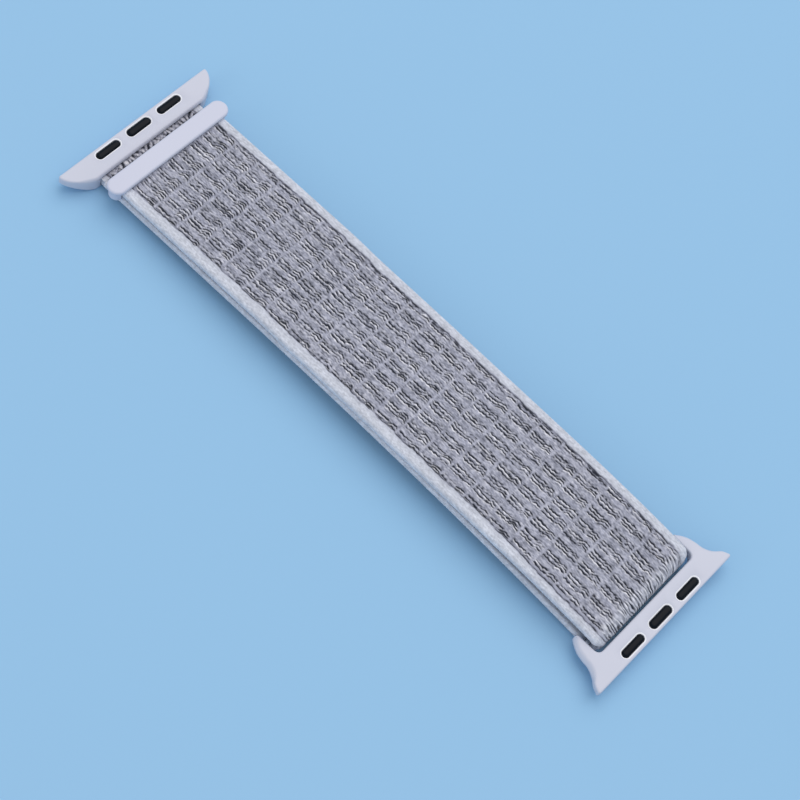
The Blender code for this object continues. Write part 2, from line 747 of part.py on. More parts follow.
def build():
    clear_scene()
    middle = joint_empty("strap_middle", (0.0, 0.0, 0.0))
    slotted_end, fixed_end = lower_layer(middle)
    strap_fold(slotted_end)
    sewn_end(fixed_end)
    free_end, free_joint = upper_layer(slotted_end)
    end_tab(free_end, free_joint)
    fixed_joint = joint_empty("fixed_lug_swing", (FIXED_BAR_X, 0.0, FIXED_BAR_Z), fixed_end)
    slotted_joint = joint_empty("slotted_lug_swing", (SLOTTED_BAR_X, 0.0, SLOTTED_BAR_Z), slotted_end)
    pad_x = HALF_LENGTH - PAD_INSET
    fixed_button = joint_empty("fixed_lock_press", (-pad_x, 0.0, LUG_THICKNESS), fixed_joint)
    slotted_button = joint_empty("slotted_lock_press", (pad_x, 0.0, LUG_THICKNESS), slotted_joint)
    fixed_lug(fixed_joint, fixed_button)
    slotted_lug(slotted_joint, slotted_button)


build()
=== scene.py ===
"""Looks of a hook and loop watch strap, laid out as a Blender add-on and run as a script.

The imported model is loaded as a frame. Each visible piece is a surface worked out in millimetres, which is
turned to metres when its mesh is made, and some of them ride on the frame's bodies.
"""

import functools
import json

import bmesh
import bpy
import numpy as np
from mathutils import Matrix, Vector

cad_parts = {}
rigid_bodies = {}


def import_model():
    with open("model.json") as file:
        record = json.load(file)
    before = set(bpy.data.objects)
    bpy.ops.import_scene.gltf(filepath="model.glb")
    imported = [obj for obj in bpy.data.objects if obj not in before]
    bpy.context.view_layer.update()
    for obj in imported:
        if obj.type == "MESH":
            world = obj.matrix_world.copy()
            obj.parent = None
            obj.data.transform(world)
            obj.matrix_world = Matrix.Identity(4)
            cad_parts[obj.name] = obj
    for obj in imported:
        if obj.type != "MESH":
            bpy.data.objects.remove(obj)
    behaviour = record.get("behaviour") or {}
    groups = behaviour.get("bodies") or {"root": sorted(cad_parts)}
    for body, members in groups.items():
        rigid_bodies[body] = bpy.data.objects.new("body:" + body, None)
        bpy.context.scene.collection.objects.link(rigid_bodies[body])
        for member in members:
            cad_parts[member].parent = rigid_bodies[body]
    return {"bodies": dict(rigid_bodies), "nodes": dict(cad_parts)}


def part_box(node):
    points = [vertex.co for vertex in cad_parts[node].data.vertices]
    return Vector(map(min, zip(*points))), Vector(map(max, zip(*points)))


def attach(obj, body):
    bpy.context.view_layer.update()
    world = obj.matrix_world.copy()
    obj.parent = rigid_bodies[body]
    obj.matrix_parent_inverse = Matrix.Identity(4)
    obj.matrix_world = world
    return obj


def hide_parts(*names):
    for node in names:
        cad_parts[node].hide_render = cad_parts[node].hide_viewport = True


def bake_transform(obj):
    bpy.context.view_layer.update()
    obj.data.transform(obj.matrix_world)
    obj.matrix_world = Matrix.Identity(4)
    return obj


bl_info = {
    "name": "Hook and loop watch strap",
    "version": (1, 0, 0),
    "blender": (4, 5, 0),
    "location": "View3D > Sidebar > Watch strap",
    "description": "Makes the woven strap, its two lugs, its end tab and a plain studio",
    "category": "Object",
}

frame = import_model()
for stray in set(bpy.data.objects) - {*frame["bodies"].values(), *frame["nodes"].values()}:
    bpy.data.objects.remove(stray)

MM = 0.001

# Sizes shared with the solids, in millimetres
HALF_LENGTH = 56.1
LUG_THICKNESS = 3.0
LUG_TIP = 15.6
STRAP_HALF = 10.8
LAYER_HALF = 0.675
SELVAGE_ROUND = 0.58
FIXED_BAR = (-52.7, 1.5)
SLOTTED_BAR = (49.65, 2.15)
FOLD_MIDDLE = 1.375
ARCH_RISE = 1.85
ARCH_SKEW_SHARE = 0.45
CLOSED_SPACING = 1.55
FOLD_SPACING = 2.75
FOLD_EASE = 42.0
PATCH_SPACING = 1.91
PATCH_X = -19.51
PATCH_END_X = -46.6
PATCH_EASE = 8.0
PATCH_HALF = 9.3
PATCH_GAP = 0.13
FREE_END_X = -49.5
SEWN_END_X = -51.1
SEWN_HALF = 10.5
EYE_INNER = 0.55
EYE_OUTER = 0.9
TAB_X = -48.4
TAB_WIDTH = 3.2
TAB_LENGTH = 24.6
TAB_ROUND = 0.36
TAB_UNDER_ROUND = 0.12
TAB_CROWN = 0.04

# End tab's bottom bar: how much it is set in all round, its lower and upper rims, and its bay's half sizes
# and floor
TAB_SET_IN = 0.3
TAB_LOWER_RIM = 0.3
TAB_UPPER_RIM = 0.05
TAB_BAY = (3.0, 11.0)
TAB_FLOOR = 0.3

# Corners of a square of half size 1, in order
CORNERS = ((-1, -1), (1, -1), (1, 1), (-1, 1))

# Cut ends of the cloth: how dark they are, and how much smaller the ring that closes them is
CUT_DARK = 0.45
CUT_RING_SHARE = 0.99

# Middles of the turn round the bar and of the sewn end, measured along the strap
FOLD_ALONG = 51.8
SEWN_ALONG = 155.0

# Fold: how far out it keeps its full width, and the round of its corners
FOLD_SQUARE = 1.05
FOLD_CORNER = 1.0

# Weave: the wide block's half length, the narrow block's middle and half length, and the rib's middle and
# half length, as shares of the repeat along the strap
WIDE_HALF_SHARE = 0.28
NARROW_MIDDLE_SHARE = 0.455
NARROW_HALF_SHARE = 0.18
RIB_MIDDLE_SHARE = 0.685
RIB_HALF_SHARE = 0.016

# Weave: half width of its pattern, the stitched line's places at the two edges, and the selvage's ridges
FIELD_HALF = 8.9
STITCH_LINES = (9.02, 8.86)
RIDGE_PITCH = 0.577

# Weave: size of its random tables along and across the strap, and the entries that the counts start from
COLUMNS = 97
ROWS = 31
FIRST_COLUMN = 40
FIRST_ROW = 12

# Seeds of the two layers' weave, and what the inner face adds to its layer's seed and to the place along it
LOWER_SEED = 11
UPPER_SEED = 23
INNER_SEED = 5
INNER_SHIFT = 1.9

# Bend lines of the layers along X, and the reach of each bend before and after its line. The peeling bend
# lies almost wholly past its line, so that it doesn't dip into the layer below.
BENDS = (29.29, 9.78, -9.78, -29.29)
WIDE_REACH = (6.5, 6.5)
NARROW_REACH = (4.7, 4.7)
PEEL_REACH = (2.1, 4.9)

# Bodies of each layer in order from the slotted lug
LOWER_BODIES = (
    "slotted_end_of_strap",
    "lower_run_towards_slotted_lug",
    "strap_middle",
    "lower_run_towards_fixed_lug",
    "fixed_end_of_strap",
)
UPPER_BODIES = (
    "upper_run_at_fold",
    "upper_run_second",
    "upper_run_third",
    "upper_run_fourth",
    "peeling_run",
    "free_end",
)

# Lengths of each layer in order: name, place of its end, bend line, the bend's reach, and the nodes it
# replaces.
LOWER_LENGTHS = (
    ("lower_cloth_near_slotted_lug", 19.5, BENDS[0], WIDE_REACH, ("strap_lower_1", "strap_lower_2")),
    ("lower_cloth_towards_slotted_lug", 0.0, BENDS[1], WIDE_REACH, ("strap_lower_3",)),
    ("lower_cloth_towards_fixed_lug", -19.5, BENDS[2], NARROW_REACH, ("strap_lower_4",)),
    ("lower_cloth_near_fixed_lug", SEWN_END_X, BENDS[3], NARROW_REACH, ("strap_lower_5",)),
)
UPPER_LENGTHS = (
    ("upper_cloth_at_fold", 19.5, BENDS[0], WIDE_REACH, ("strap_upper_1", "strap_upper_2")),
    ("upper_cloth_towards_slotted_lug", 0.0, BENDS[1], WIDE_REACH, ("strap_upper_3",)),
    ("upper_cloth_towards_fixed_lug", -14.6, BENDS[2], NARROW_REACH, ("strap_upper_4",)),
    ("upper_cloth_at_peel_line", -24.4, PATCH_X, PEEL_REACH, ("strap_free_end_1",)),
    ("upper_cloth_at_free_end", FREE_END_X, BENDS[3], NARROW_REACH, ("strap_free_end_2",)),
)
HOOK_LENGTHS = (
    ("hook_strip_near_peel_line", -24.4, PATCH_X, PEEL_REACH, ("hook_patch_1",)),
    ("hook_strip_near_free_end", PATCH_END_X, BENDS[3], NARROW_REACH, ("hook_patch_2",)),
)

# Hook strip: thickness of its tape, pitch of its hooks along and across, and a hook's half width and
# the side outline of its foot and stem, and of its tip and back
TAPE = 0.12
HOOK_PITCH = (0.62, 0.55)
HOOK_HALF = 0.09
HOOK_TOP = ((-0.09, 0.03), (0.09, 0.03), (0.06, -0.06), (0.1, -0.14))
HOOK_TIP = ((0.2, -0.15), (0.12, -0.175), (0.0, -0.17), (-0.06, -0.09))

# Lugs: points of an outline and how far its corners are softened, how much wider and taller a rim is where
# it is softest, the height up to which their undersides rise at the tips, and the places along Y where the
# underside is cut so that it can curve
OUTLINE_POINTS = 880
OUTLINE_SOFTNESS = 0.13
SOFT_RIM_WIDER = 1.4
SOFT_RIM_TALLER = 2.8
LIFT_HEIGHT = 2.4
LIFT_CUTS = np.linspace(9.5, 15.0, 12)

# Fixed lug's plan
FIXED_DEPTH = 4.2
FIXED_SHOULDER = 11.25
FIXED_END_POWER = 0.85
POCKET_RADIUS = 1.02
POCKET_HALF = 10.7
POCKET_REACH = 3.0

# Slotted lug's plan: its ears as shares of the depth and of the flare
SLOTTED_RAIL = 3.95
SLOTTED_DEPTH = 8.3
SLOT_HALF = 11.15
SLOT_CORNER = 0.9
EAR_END_ROUND = 0.55
EAR_SHARES = (
    (0.03, 1.0),
    (0.17, 0.877),
    (0.28, 0.7),
    (0.45, 0.537),
    (0.62, 0.49),
    (0.78, 0.411),
    (0.92, 0.264),
)

# Pads and locks: pill sizes as length and width, heights, and a button's levels below its crown. A seat is
# wider than its pad by a gap.
PAD_X = 54.8
SIDES = (("fixed_lug", -PAD_X), ("slotted_lug", PAD_X))
PAD_PITCH = 6.45
PAD = (4.6, 1.24)
BUTTON = (4.6, 1.34)
PAD_ROUND = (0.6, 0.34)
SEAT_GAP = 0.07
SEAT_RIM_WIDTH = 0.19
SEAT_RIM_DEPTH = 0.13
SEAT_FLOOR = 2.3
LEDGE_HEIGHT = 1.9
PLATE_TOP = 0.55
PAD_TOP = 3.1
BUTTON_TOP = 3.2
STEM = (4.0, 1.0)
STEM_SLOT = (4.2, 1.2)
COLLAR = (6.0, 1.2)
CHAMBER = (6.2, 1.4)
PLATE_RECESS = (7.6, 1.7)
BUTTON_LEVELS = ((COLLAR, 1.5), (COLLAR, 1.8), (STEM, 1.8), (STEM, 2.8), (BUTTON, 2.8))

# Lock springs: coil radius, wire radius, turns, and the heights of the lowest and highest coil
SPRING_RADIUS = 0.4
SPRING_WIRE = 0.05
SPRING_TURNS = 2.5
SPRING_HEIGHTS = (0.53, 1.42)

# Camera: its right, upward and backward directions, and its place in millimetres
CAMERA_AXES = ((0.7166, 0.6721, 0.1865), (-0.6755, 0.6021, 0.4256), (0.1738, -0.4310, 0.8855))
CAMERA_PLACE = (56.872, -132.10, 267.35)

# Lamps: place and size in metres, and tint, and the tint of the even light
KEY_LAMP = ((-0.15, 0.8, 1.5), 2.2, (1.0, 0.88, 0.8))
FILL_LAMP = ((-0.35, -1.3, 0.42), 1.0, (1.0, 0.85, 0.75))
ROOM_TINT = (0.92, 1.0, 1.06, 1.0)

# Floor: how far it reaches and how far it lies below the object, in metres
FLOOR_REACH = 3.0
FLOOR_DROP = 2e-5


def hex_colour(text):
    """Return an sRGB hex value such as #93BEE1 as linear red, green, blue and 1."""
    value = np.array([int(text[i : i + 2], 16) for i in (1, 3, 5)]) / 255
    linear = np.where(value <= 0.04045, value / 12.92, ((value + 0.055) / 1.055) ** 2.4)
    return (*linear.tolist(), 1.0)


def colour(name, description, text):
    """Return a colour property with its default as a hex value."""
    words = {"name": name, "description": description, "subtype": "COLOR"}
    return bpy.props.FloatVectorProperty(**words, size=4, min=0.0, max=1.0, default=hex_colour(text))


def amount(name, description, unit, default, precision=2):
    """Return a number property in a unit."""
    return bpy.props.FloatProperty(
        name=name, description=description, unit=unit, min=0.0, precision=precision, default=default
    )


def length(name, description, default):
    """Return a length property, its default in millimetres."""
    return amount(name, description, "LENGTH", default * MM, precision=5)


class WeaveSettings(bpy.types.PropertyGroup):
    """Sizes and colours of the strap's weave."""

    column_pitch: length("Column pitch", "Repeat of the weave along the strap", 4.62)
    group_pitch: length("Group pitch", "Repeat of the three-dash groups across the strap", 2.54)
    dash_spacing: length("Dash spacing", "Distance between the dashes of a group", 0.56)
    dash_width: length("Dash width", "Width of one dark dash", 0.22)
    dash_depth: length("Dash depth", "How deep a dash lies between the floats", 0.09)
    step_along: length("Step along", "Grid step along the strap", 0.18)
    step_across: length("Step across", "Grid step across the strap's outer face", 0.06)
    light_yarn: colour("Light yarn", "Heather grey nylon", "#9FA2B4")
    # Dark yarn, and the painted shade that deepens the gaps between the floats
    dark_yarn_and_gap_shade: colour("Dark yarn", "Dark nylon between the floats", "#0E1122")
    # Painted highlight on the crowns of the floats
    painted_glint: colour("Glint", "Bright filament on the crown of a float", "#F8F8FF")
    # Also the colour of the painted light on the fold's crown
    selvage: colour("Selvage", "Pale woven edge", "#D0D5E1")


class HardwareSettings(bpy.types.PropertyGroup):
    """Colours and rims of the lugs, the pads and the end tab."""

    top_round: length("Top rounding", "Radius of the lugs' upper rims", 0.3)
    bottom_round: length("Bottom rounding", "Radius of the lugs' lower rims", 0.4)
    lug: colour("Lug", "Matt coated alloy", "#C8CBDA")
    tab: colour("Tab", "Moulded tab", "#C9CCDD")
    pad: colour("Pad", "Black rubber", "#07090F")
    steel: colour("Steel", "Crossbars and springs", "#B9BABD")
    hooks: colour("Hooks", "Moulded hook strip", "#C3C4CC")
    hook_shade: colour("Hook shade", "Darker tone of the hook strip", "#B2B3BC")


class StudioSettings(bpy.types.PropertyGroup):
    """Floor, lamps and camera."""

    floor: colour("Floor", "Plain pale floor", "#93BEE1")
    room_light: amount("Room light", "Strength of the even light", "NONE", 0.66)
    key_power: amount("Key power", "Power of the large soft lamp", "POWER", 18.7)
    fill_power: amount("Fill power", "Power of the low soft lamp", "POWER", 3.0)
    lens: amount("Lens", "Focal length of the camera", "CAMERA", 90.0)


# Meshes


def grid_faces(rows, columns):
    """Return the quads of a grid of rows by columns, whose last column joins its first."""
    i = np.arange(rows - 1)[:, None]
    j = np.arange(columns)[None, :]
    after = (j + 1) % columns
    quads = [i * columns + j, i * columns + after, (i + 1) * columns + after, (i + 1) * columns + j]
    return np.stack(np.broadcast_arrays(*quads), -1).reshape(-1, 4)


def add_object(name, data):
    """Return a new object in the scene."""
    obj = bpy.data.objects.new(name, data)
    bpy.context.scene.collection.objects.link(obj)
    return obj


def mesh_object(name, mesh, material, sharp=40.0):
    """Return a mesh's object with its material, smooth but for edges sharper than an angle."""
    mesh.shade_smooth()
    mesh.set_sharp_from_angle(angle=np.radians(sharp))
    mesh.materials.append(material)
    return add_object(name, mesh)


def new_piece(name, points, faces, material, attributes=None, sharp=40.0):
    """Make a mesh object from points in millimetres, with point attributes."""
    mesh = bpy.data.meshes.new(name)
    mesh.from_pydata((np.asarray(points) * MM).tolist(), [], faces)
    for key, values in (attributes or {}).items():
        attribute = mesh.attributes.new(key, "FLOAT", "POINT")
        attribute.data.foreach_set("value", np.asarray(values, np.float32).ravel())
    edit = bmesh.new()
    edit.from_mesh(mesh)
    bmesh.ops.recalc_face_normals(edit, faces=edit.faces)
    edit.to_mesh(mesh)
    edit.free()
    return mesh_object(name, mesh, material, sharp)


def tube(name, rings, material, attributes=None, sharp=40.0):
    """Make a closed tube from an array of rings, each a closed loop of points, with flat ends."""
    rows, columns = rings.shape[:2]
    faces = grid_faces(rows, columns).tolist()
    faces += [list(range(columns)), list(range((rows - 1) * columns, rows * columns))]
    return new_piece(name, rings.reshape(-1, 3), faces, material, attributes, sharp)


def subtract(body, cutter):
    """Cut one closed piece out of another, and delete the cutter."""
    modifier = body.modifiers.new("cut", "BOOLEAN")
    modifier.operation = "DIFFERENCE"
    modifier.solver = "EXACT"
    modifier.object = cutter
    graph = bpy.context.evaluated_depsgraph_get()
    body.data = bpy.data.meshes.new_from_object(body.evaluated_get(graph))
    body.modifiers.clear()
    bpy.data.objects.remove(cutter)
    body.data.set_sharp_from_angle(angle=np.radians(40.0))


def fit(piece, slot, *nodes, body=None):
    """Hide the nodes that a piece replaces, and let it ride on a body if one is given. Its slot is not used.
    """
    if body:
        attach(piece, body)
    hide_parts(*nodes)


def eased(value):
    """Smooth step from 0 to 1: three squares less two cubes of the clipped value."""
    share = np.clip(value, 0.0, 1.0)
    return share * share * (3 - 2 * share)


def bump(distance, half, soft):
    """One inside half, nought outside it, with a soft edge of the given width."""
    return eased((half + soft / 2 - np.abs(distance)) / soft)


def wave(place, pitch):
    """Cosine wave that repeats at a pitch."""
    return np.cos(2 * np.pi * place / pitch)


def bell(distance, reach):
    """Bell curve: falls to 1/e at its reach."""
    return np.exp(-((distance / reach) ** 2))


# Materials


def add_node(tree, kind, sockets=None, **settings):
    """Add a shader node with its settings. A socket's value is a number, a colour or another node's output.

    A socket is given by its name, or by its number on a colour mix, which has several sockets of one name:
    0 is its factor, 6 and 7 its colours.
    """
    made = tree.nodes.new("ShaderNode" + kind)
    for key, value in settings.items():
        setattr(made, key, value)
    for key, value in (sockets or {}).items():
        if isinstance(value, bpy.types.NodeSocket):
            tree.links.new(value, made.inputs[key])
        else:
            made.inputs[key].default_value = value
    return made


def emptied(owner):
    """Empty the node tree of a material or world, and return the function that adds its nodes."""
    owner.use_nodes = True
    owner.node_tree.nodes.clear()
    return functools.partial(add_node, owner.node_tree)


def new_material(name):
    """Return a new material, the function that adds its nodes, and its patterns' place on the piece."""
    material = bpy.data.materials.new(name)
    add = emptied(material)
    return material, add, add("TexCoord").outputs["Object"]


def finished(material, add, finish):
    """Return a material after its finish is set on its shader."""
    shader = add("BsdfPrincipled", finish)
    add("OutputMaterial", {"Surface": shader.outputs["BSDF"]})
    return material


@functools.cache
def woven_nylon():
    """Heather nylon webbing, jacquard woven: dull light floats over dark ends, with a pale selvage.

    The gaps between the floats are deepened with painted shade, and the floats carry painted glints. The real
    filaments are finer than a pixel, so the streaks are drawn about 0.3 mm wide to show.
    """
    settings = bpy.context.scene.strap_weave
    material, add, place = new_material("heather_webbing")
    # The dark attribute carries dark yarn and painted shade, the glinting one painted highlights, and the
    # pale one the selvage and painted light on the fold
    tint = tuple(settings.light_yarn)
    for key, over in (("dark", settings.dark_yarn_and_gap_shade), ("painted_glint", settings.painted_glint), ("pale", settings.selvage)):
        share = add("Attribute", attribute_name=key).outputs["Fac"]
        tint = add("Mix", {0: share, 6: tint, 7: tuple(over)}, data_type="RGBA").outputs[2]
    drawn = {"Vector": place, "Scale": (1300.0, 3300.0, 3300.0)}
    drawn = add("Mapping", drawn).outputs["Vector"]
    fibres = {"Vector": drawn, "Scale": 1.0, "Detail": 3.0, "Roughness": 0.6}
    fibres = add("TexNoise", fibres).outputs["Fac"]
    mottle = add("TexNoise", {"Vector": place, "Scale": 420.0, "Detail": 2.0}).outputs["Fac"]
    shares = []
    for noise, low, high in ((fibres, 0.74, 1.16), (mottle, 0.94, 1.04)):
        spread = {"Value": noise, "From Min": 0.3, "From Max": 0.7, "To Min": low, "To Max": high}
        shares.append(add("MapRange", spread).outputs["Result"])
    both = add("Math", dict(enumerate(shares)), operation="MULTIPLY").outputs[0]
    grey = add("CombineColor", dict.fromkeys(("Red", "Green", "Blue"), both)).outputs["Color"]
    product = {0: 1.0, 6: tint, 7: grey}
    tint = add("Mix", product, data_type="RGBA", blend_type="MULTIPLY").outputs[2]
    relief = {"Height": fibres, "Strength": 0.5, "Distance": 0.00006}
    relief = add("Bump", relief).outputs["Normal"]
    sheen = {"Sheen Weight": 0.15, "Sheen Roughness": 0.5}
    return finished(material, add, {"Base Color": tint, "Roughness": 0.82, "Normal": relief, **sheen})


@functools.cache
def hook_nylon():
    """Moulded nylon hook strip: dull, slightly clear, with fine mould grain."""
    settings = bpy.context.scene.strap_hardware
    material, add, place = new_material("hook_strip_nylon")
    mould = add("TexNoise", {"Vector": place, "Scale": 3000.0, "Detail": 2.0}).outputs["Fac"]
    relief = {"Height": mould, "Strength": 0.3, "Distance": 0.00003}
    relief = add("Bump", relief).outputs["Normal"]
    tones = {0: mould, 6: tuple(settings.hooks), 7: tuple(settings.hook_shade)}
    tint = add("Mix", tones, data_type="RGBA").outputs[2]
    return finished(material, add, {"Base Color": tint, "Roughness": 0.5, "Normal": relief})


def satin(name, base, worn, roughness, grain_size, specular=0.5, rim=None):
    """Smooth coated or moulded finish: a faint cloudy tone and a fine grain that softens its gloss."""
    material, add, place = new_material(name)
    cloud = add("TexNoise", {"Vector": place, "Scale": 90.0, "Detail": 2.0}).outputs["Fac"]
    peel = {"Vector": place, "Scale": 1.0 / (grain_size * MM), "Detail": 2.0}
    peel = add("TexNoise", peel).outputs["Fac"]
    tint = add("Mix", {0: cloud, 6: base, 7: worn}, data_type="RGBA").outputs[2]
    # Painted highlight on the rims
    if rim:
        on_rim = add("Attribute", attribute_name="rim").outputs["Fac"]
        tint = add("Mix", {0: on_rim, 6: tint, 7: rim}, data_type="RGBA").outputs[2]
    spread = {"Value": peel, "To Min": roughness - 0.06, "To Max": roughness + 0.06}
    gloss = add("MapRange", spread).outputs["Result"]
    relief = {"Height": peel, "Strength": 0.25, "Distance": 0.00001}
    relief = add("Bump", relief).outputs["Normal"]
    finish = {"Base Color": tint, "Specular IOR Level": specular, "Roughness": gloss, "Normal": relief}
    return finished(material, add, finish)


@functools.cache
def drawn_steel():
    """Drawn stainless wire and bar: bright, with fine lines along its length."""
    material, add, place = new_material("drawn_steel")
    drawn = {"Vector": place, "Scale": (9000.0, 300.0, 9000.0)}
    drawn = add("Mapping", drawn).outputs["Vector"]
    drawn = add("TexNoise", {"Vector": drawn, "Scale": 1.0, "Detail": 2.0}).outputs["Fac"]
    gloss = add("MapRange", {"Value": drawn, "To Min": 0.2, "To Max": 0.42}).outputs["Result"]
    steel = tuple(bpy.context.scene.strap_hardware.steel)
    return finished(material, add, {"Base Color": steel, "Metallic": 1.0, "Roughness": gloss})


@functools.cache
def sprayed_alloy():
    """Matt sprayed zinc alloy: even and pale, with soft highlights, and a painted highlight on the seat rims.
    """
    base = tuple(bpy.context.scene.strap_hardware.lug)
    return satin("sprayed_zinc_alloy", base, hex_colour("#C3C6D5"), 0.45, 0.12, 0.4, hex_colour("#F0F2FA"))


@functools.cache
def tab_nylon():
    """Moulded nylon tab, self-coloured: smooth and a little duller than the lugs."""
    base = tuple(bpy.context.scene.strap_hardware.tab)
    return satin("moulded_tab_nylon", base, hex_colour("#C5C8DA"), 0.5, 0.15)


@functools.cache
def black_rubber():
    """Moulded black rubber, polished mould: near black with a soft gloss."""
    base = tuple(bpy.context.scene.strap_hardware.pad)
    return satin("moulded_black_rubber", base, hex_colour("#0C0F16"), 0.3, 0.1, 0.13)


# The strap's middle lines and its weave


def lower_height(x):
    """Height of the lower layer's middle: a line between the bars, plus a skewed arch."""
    along = (x - FIXED_BAR[0]) / (SLOTTED_BAR[0] - FIXED_BAR[0])
    fold_height = SLOTTED_BAR[1] - FOLD_MIDDLE
    u = 2 * along - 1
    straight = FIXED_BAR[1] + (fold_height - FIXED_BAR[1]) * along
    return straight + ARCH_RISE * (1 - u * u) * (1 + ARCH_SKEW_SHARE * u)


def upper_height(x):
    """Height of the upper layer's middle: it opens towards the fold, and over the hook strip."""
    at_fold = eased((x - SLOTTED_BAR[0] + FOLD_EASE) / FOLD_EASE)
    at_patch = eased((PATCH_X + PATCH_EASE - x) / PATCH_EASE)
    spacing = CLOSED_SPACING + (FOLD_SPACING - CLOSED_SPACING) * at_fold
    return lower_height(x) + spacing + (PATCH_SPACING - CLOSED_SPACING) * at_patch


def grain(along, across, cell, table):
    """Return smooth random tones from 0 to 1: a table's values at the corners of cells, eased in between."""
    u, v = along / cell[0] + 0 * across, across / cell[1] + 0 * along
    i, j = np.floor(u).astype(int), np.floor(v).astype(int)
    s, t = eased(u - i), eased(v - j)
    count = len(table)
    low = table[i % count, j % count] * (1 - s) + table[(i + 1) % count, j % count] * s
    high = table[i % count, (j + 1) % count] * (1 - s) + table[(i + 1) % count, (j + 1) % count] * s
    return low * (1 - t) + high * t


def weave(along, across, seed):
    """Return the weave's relief in millimetres, and its tones on a grid: how dark, how pale, and painted
    glints.

    Along the strap it repeats a wide block and a narrow arched block, parted by smooth ribs with painted
    shade beside them. Across it repeats three dark dashes and a plain band. A dash is a bell curve about its
    row: dark yarn deepened with painted shade in the gap between floats, with a painted glint on the raised
    float beside it, and each has its own strength from a table. A fine grain breaks the dashes up, and a
    broader one sways them. Round the fold and at the sewn end the rows run on without a break, with painted
    glints between them, and the fold's crown has painted light. A stitched line parts the pattern from the
    pale selvage, with painted shade on the selvage beside the line. Painted glint specks lie on the ribs and
    in the plain field.
    """
    settings = bpy.context.scene.strap_weave
    pitch = settings.column_pitch / MM
    group_pitch = settings.group_pitch / MM
    spacing = settings.dash_spacing / MM
    width = settings.dash_width / MM
    # Random tables: of the grains, of each dash's strength, painted shine and shift, and of each row's place
    # and tone
    chance = np.random.default_rng(seed)
    table = chance.uniform(0.0, 1.0, (199, 199))
    dash_chances = chance.uniform(0.0, 1.0, (COLUMNS, ROWS, 5, 2, 3))
    waver = chance.normal(0.0, 0.07, (COLUMNS, ROWS))
    row_tones = chance.uniform(0.0, 1.0, (COLUMNS, ROWS))
    fine = grain(along, across, (0.33, 0.16), table[:, ::-1])
    fuzz = grain(along, across, (0.45, 0.17), table)
    wobble = grain(along, across, (0.55, 0.45), table[::-1])
    breaks = grain(along, across, (0.6, 0.3), table.T)
    cells = grain(along, across, (0.8, 0.5), table)
    sway = grain(along, across, (1.3, 1.1), table)
    # Repeats along the strap, with each point's place in its blocks, and groups of rows across it
    turns = (along - 0.7 - 0.7 * bell(along + 16, 22)) / pitch + 0.05 * (sway - 0.5)
    wide_index = np.round(turns)
    narrow_index = np.round(turns - NARROW_MIDDLE_SHARE)
    wide_at = (turns - wide_index) / WIDE_HALF_SHARE
    narrow_at = (turns - NARROW_MIDDLE_SHARE - narrow_index) / NARROW_HALF_SHARE
    rib_at = turns - RIB_MIDDLE_SHARE - np.round(turns - RIB_MIDDLE_SHARE)
    group = np.round(across / group_pitch - 0.5)
    offset = across - (group + 0.5) * group_pitch
    row = (group.astype(int) + FIRST_ROW) % ROWS
    # Dashes of both blocks, with painted shade in their gaps and painted glints beside them: the outer rows
    # are weaker, more so towards the fold
    dark = np.zeros(np.broadcast(along, across).shape)
    painted_glint = np.zeros(dark.shape)
    straight = 0.06 * wide_at**2 - 0.03
    arched = 0.14 - 0.28 * narrow_at**2 + 0.07 * narrow_at
    towards_fold = eased((along + 40) / 70)
    stray = 0.16 * (sway - 0.5) + 0.16 * (wobble - 0.5) + 0.05 * np.cos(12 * np.pi * along / pitch + 5 * sway)
    thick = width * (0.4 + 0.34 * breaks)
    blocks = (
        (wide_at, wide_index, straight, 1.0, 0.22 - 0.12 * towards_fold, 0.75 + 0.25 * towards_fold),
        (narrow_at, narrow_index, arched, 0.84, 0.6 - 0.5 * towards_fold, 1.0),
    )
    for kind, (at, index, rise, closer, outer_share, inner_share) in enumerate(blocks):
        column = (index.astype(int) + FIRST_COLUMN) % COLUMNS
        for dash in range(5):
            place = dash - 2
            strength, shine, shift = np.moveaxis(dash_chances[column, row, dash, kind], -1, 0)
            strength = np.clip(0.35 + 1.1 * strength, 0.0, 1.0) * bump(at - 0.3 * (shift - 0.5), 0.95, 0.3)
            strength = strength * (outer_share if abs(place) == 2 else inner_share)
            line = offset - place * closer * spacing - rise - waver[column, row]
            line = line - 0.14 * (shift - 0.5) - stray
            # Dark yarn in the gap, deepened with painted shade, and a painted glint on the raised float
            # beside it
            dark = dark + strength * (0.45 + 1.1 * fuzz + 0.9 * fine) * bell(line, thick)
            shine = np.clip(2.0 * shine, 0.0, 1.0) * np.clip(2.4 * breaks - 0.3, 0.2, 1.0)
            painted_glint = painted_glint + strength * shine * bell(line + 0.95 * width, 0.42 * width)
    # Unbroken rows round the fold and at the sewn end, with painted glints between the dark rows
    folded = bump(along - FOLD_ALONG, 2.1, 0.8)
    turned = folded + bump(along - SEWN_ALONG, 4.6, 1.0)
    strand = across / np.where(along > SEWN_ALONG / 2, 0.9, 0.56) + 1.2 * (sway - 0.5) + 0.5 * (wobble - 0.5)
    strand_dark = np.clip(1.3 * wave(strand, 1) + 0.2, 0, 1) * np.clip(2.4 * cells - 0.5, 0.1, 1)
    # Painted glints between the rows
    strand_painted_glint = np.clip(-wave(strand, 1), 0, 1) ** 2 * breaks
    inside = bump(across, FIELD_HALF, 0.3)
    dark = np.clip((dark * (1 - turned) + turned * strand_dark) * inside, 0, 1)
    painted_glint = np.clip((painted_glint * (1 - turned) + turned * strand_painted_glint) * inside, 0, 1)
    # Ribs between the blocks, with painted shade beside each
    in_group = bump(offset, 0.95, 0.35)
    wide = bump(wide_at, 1.0, 0.25)
    narrow = bump(narrow_at, 1.0, 0.35)
    picks = wave(along, pitch / 8)
    ribs = bump(rib_at, RIB_HALF_SHARE, 0.02) * np.clip(2 * sway - 0.3, 0, 1)
    # Painted shade on both sides of each rib
    painted_rib_shade = bump(rib_at, 0.08, 0.05) * (1 - ribs) * (0.4 + 1.2 * breaks)
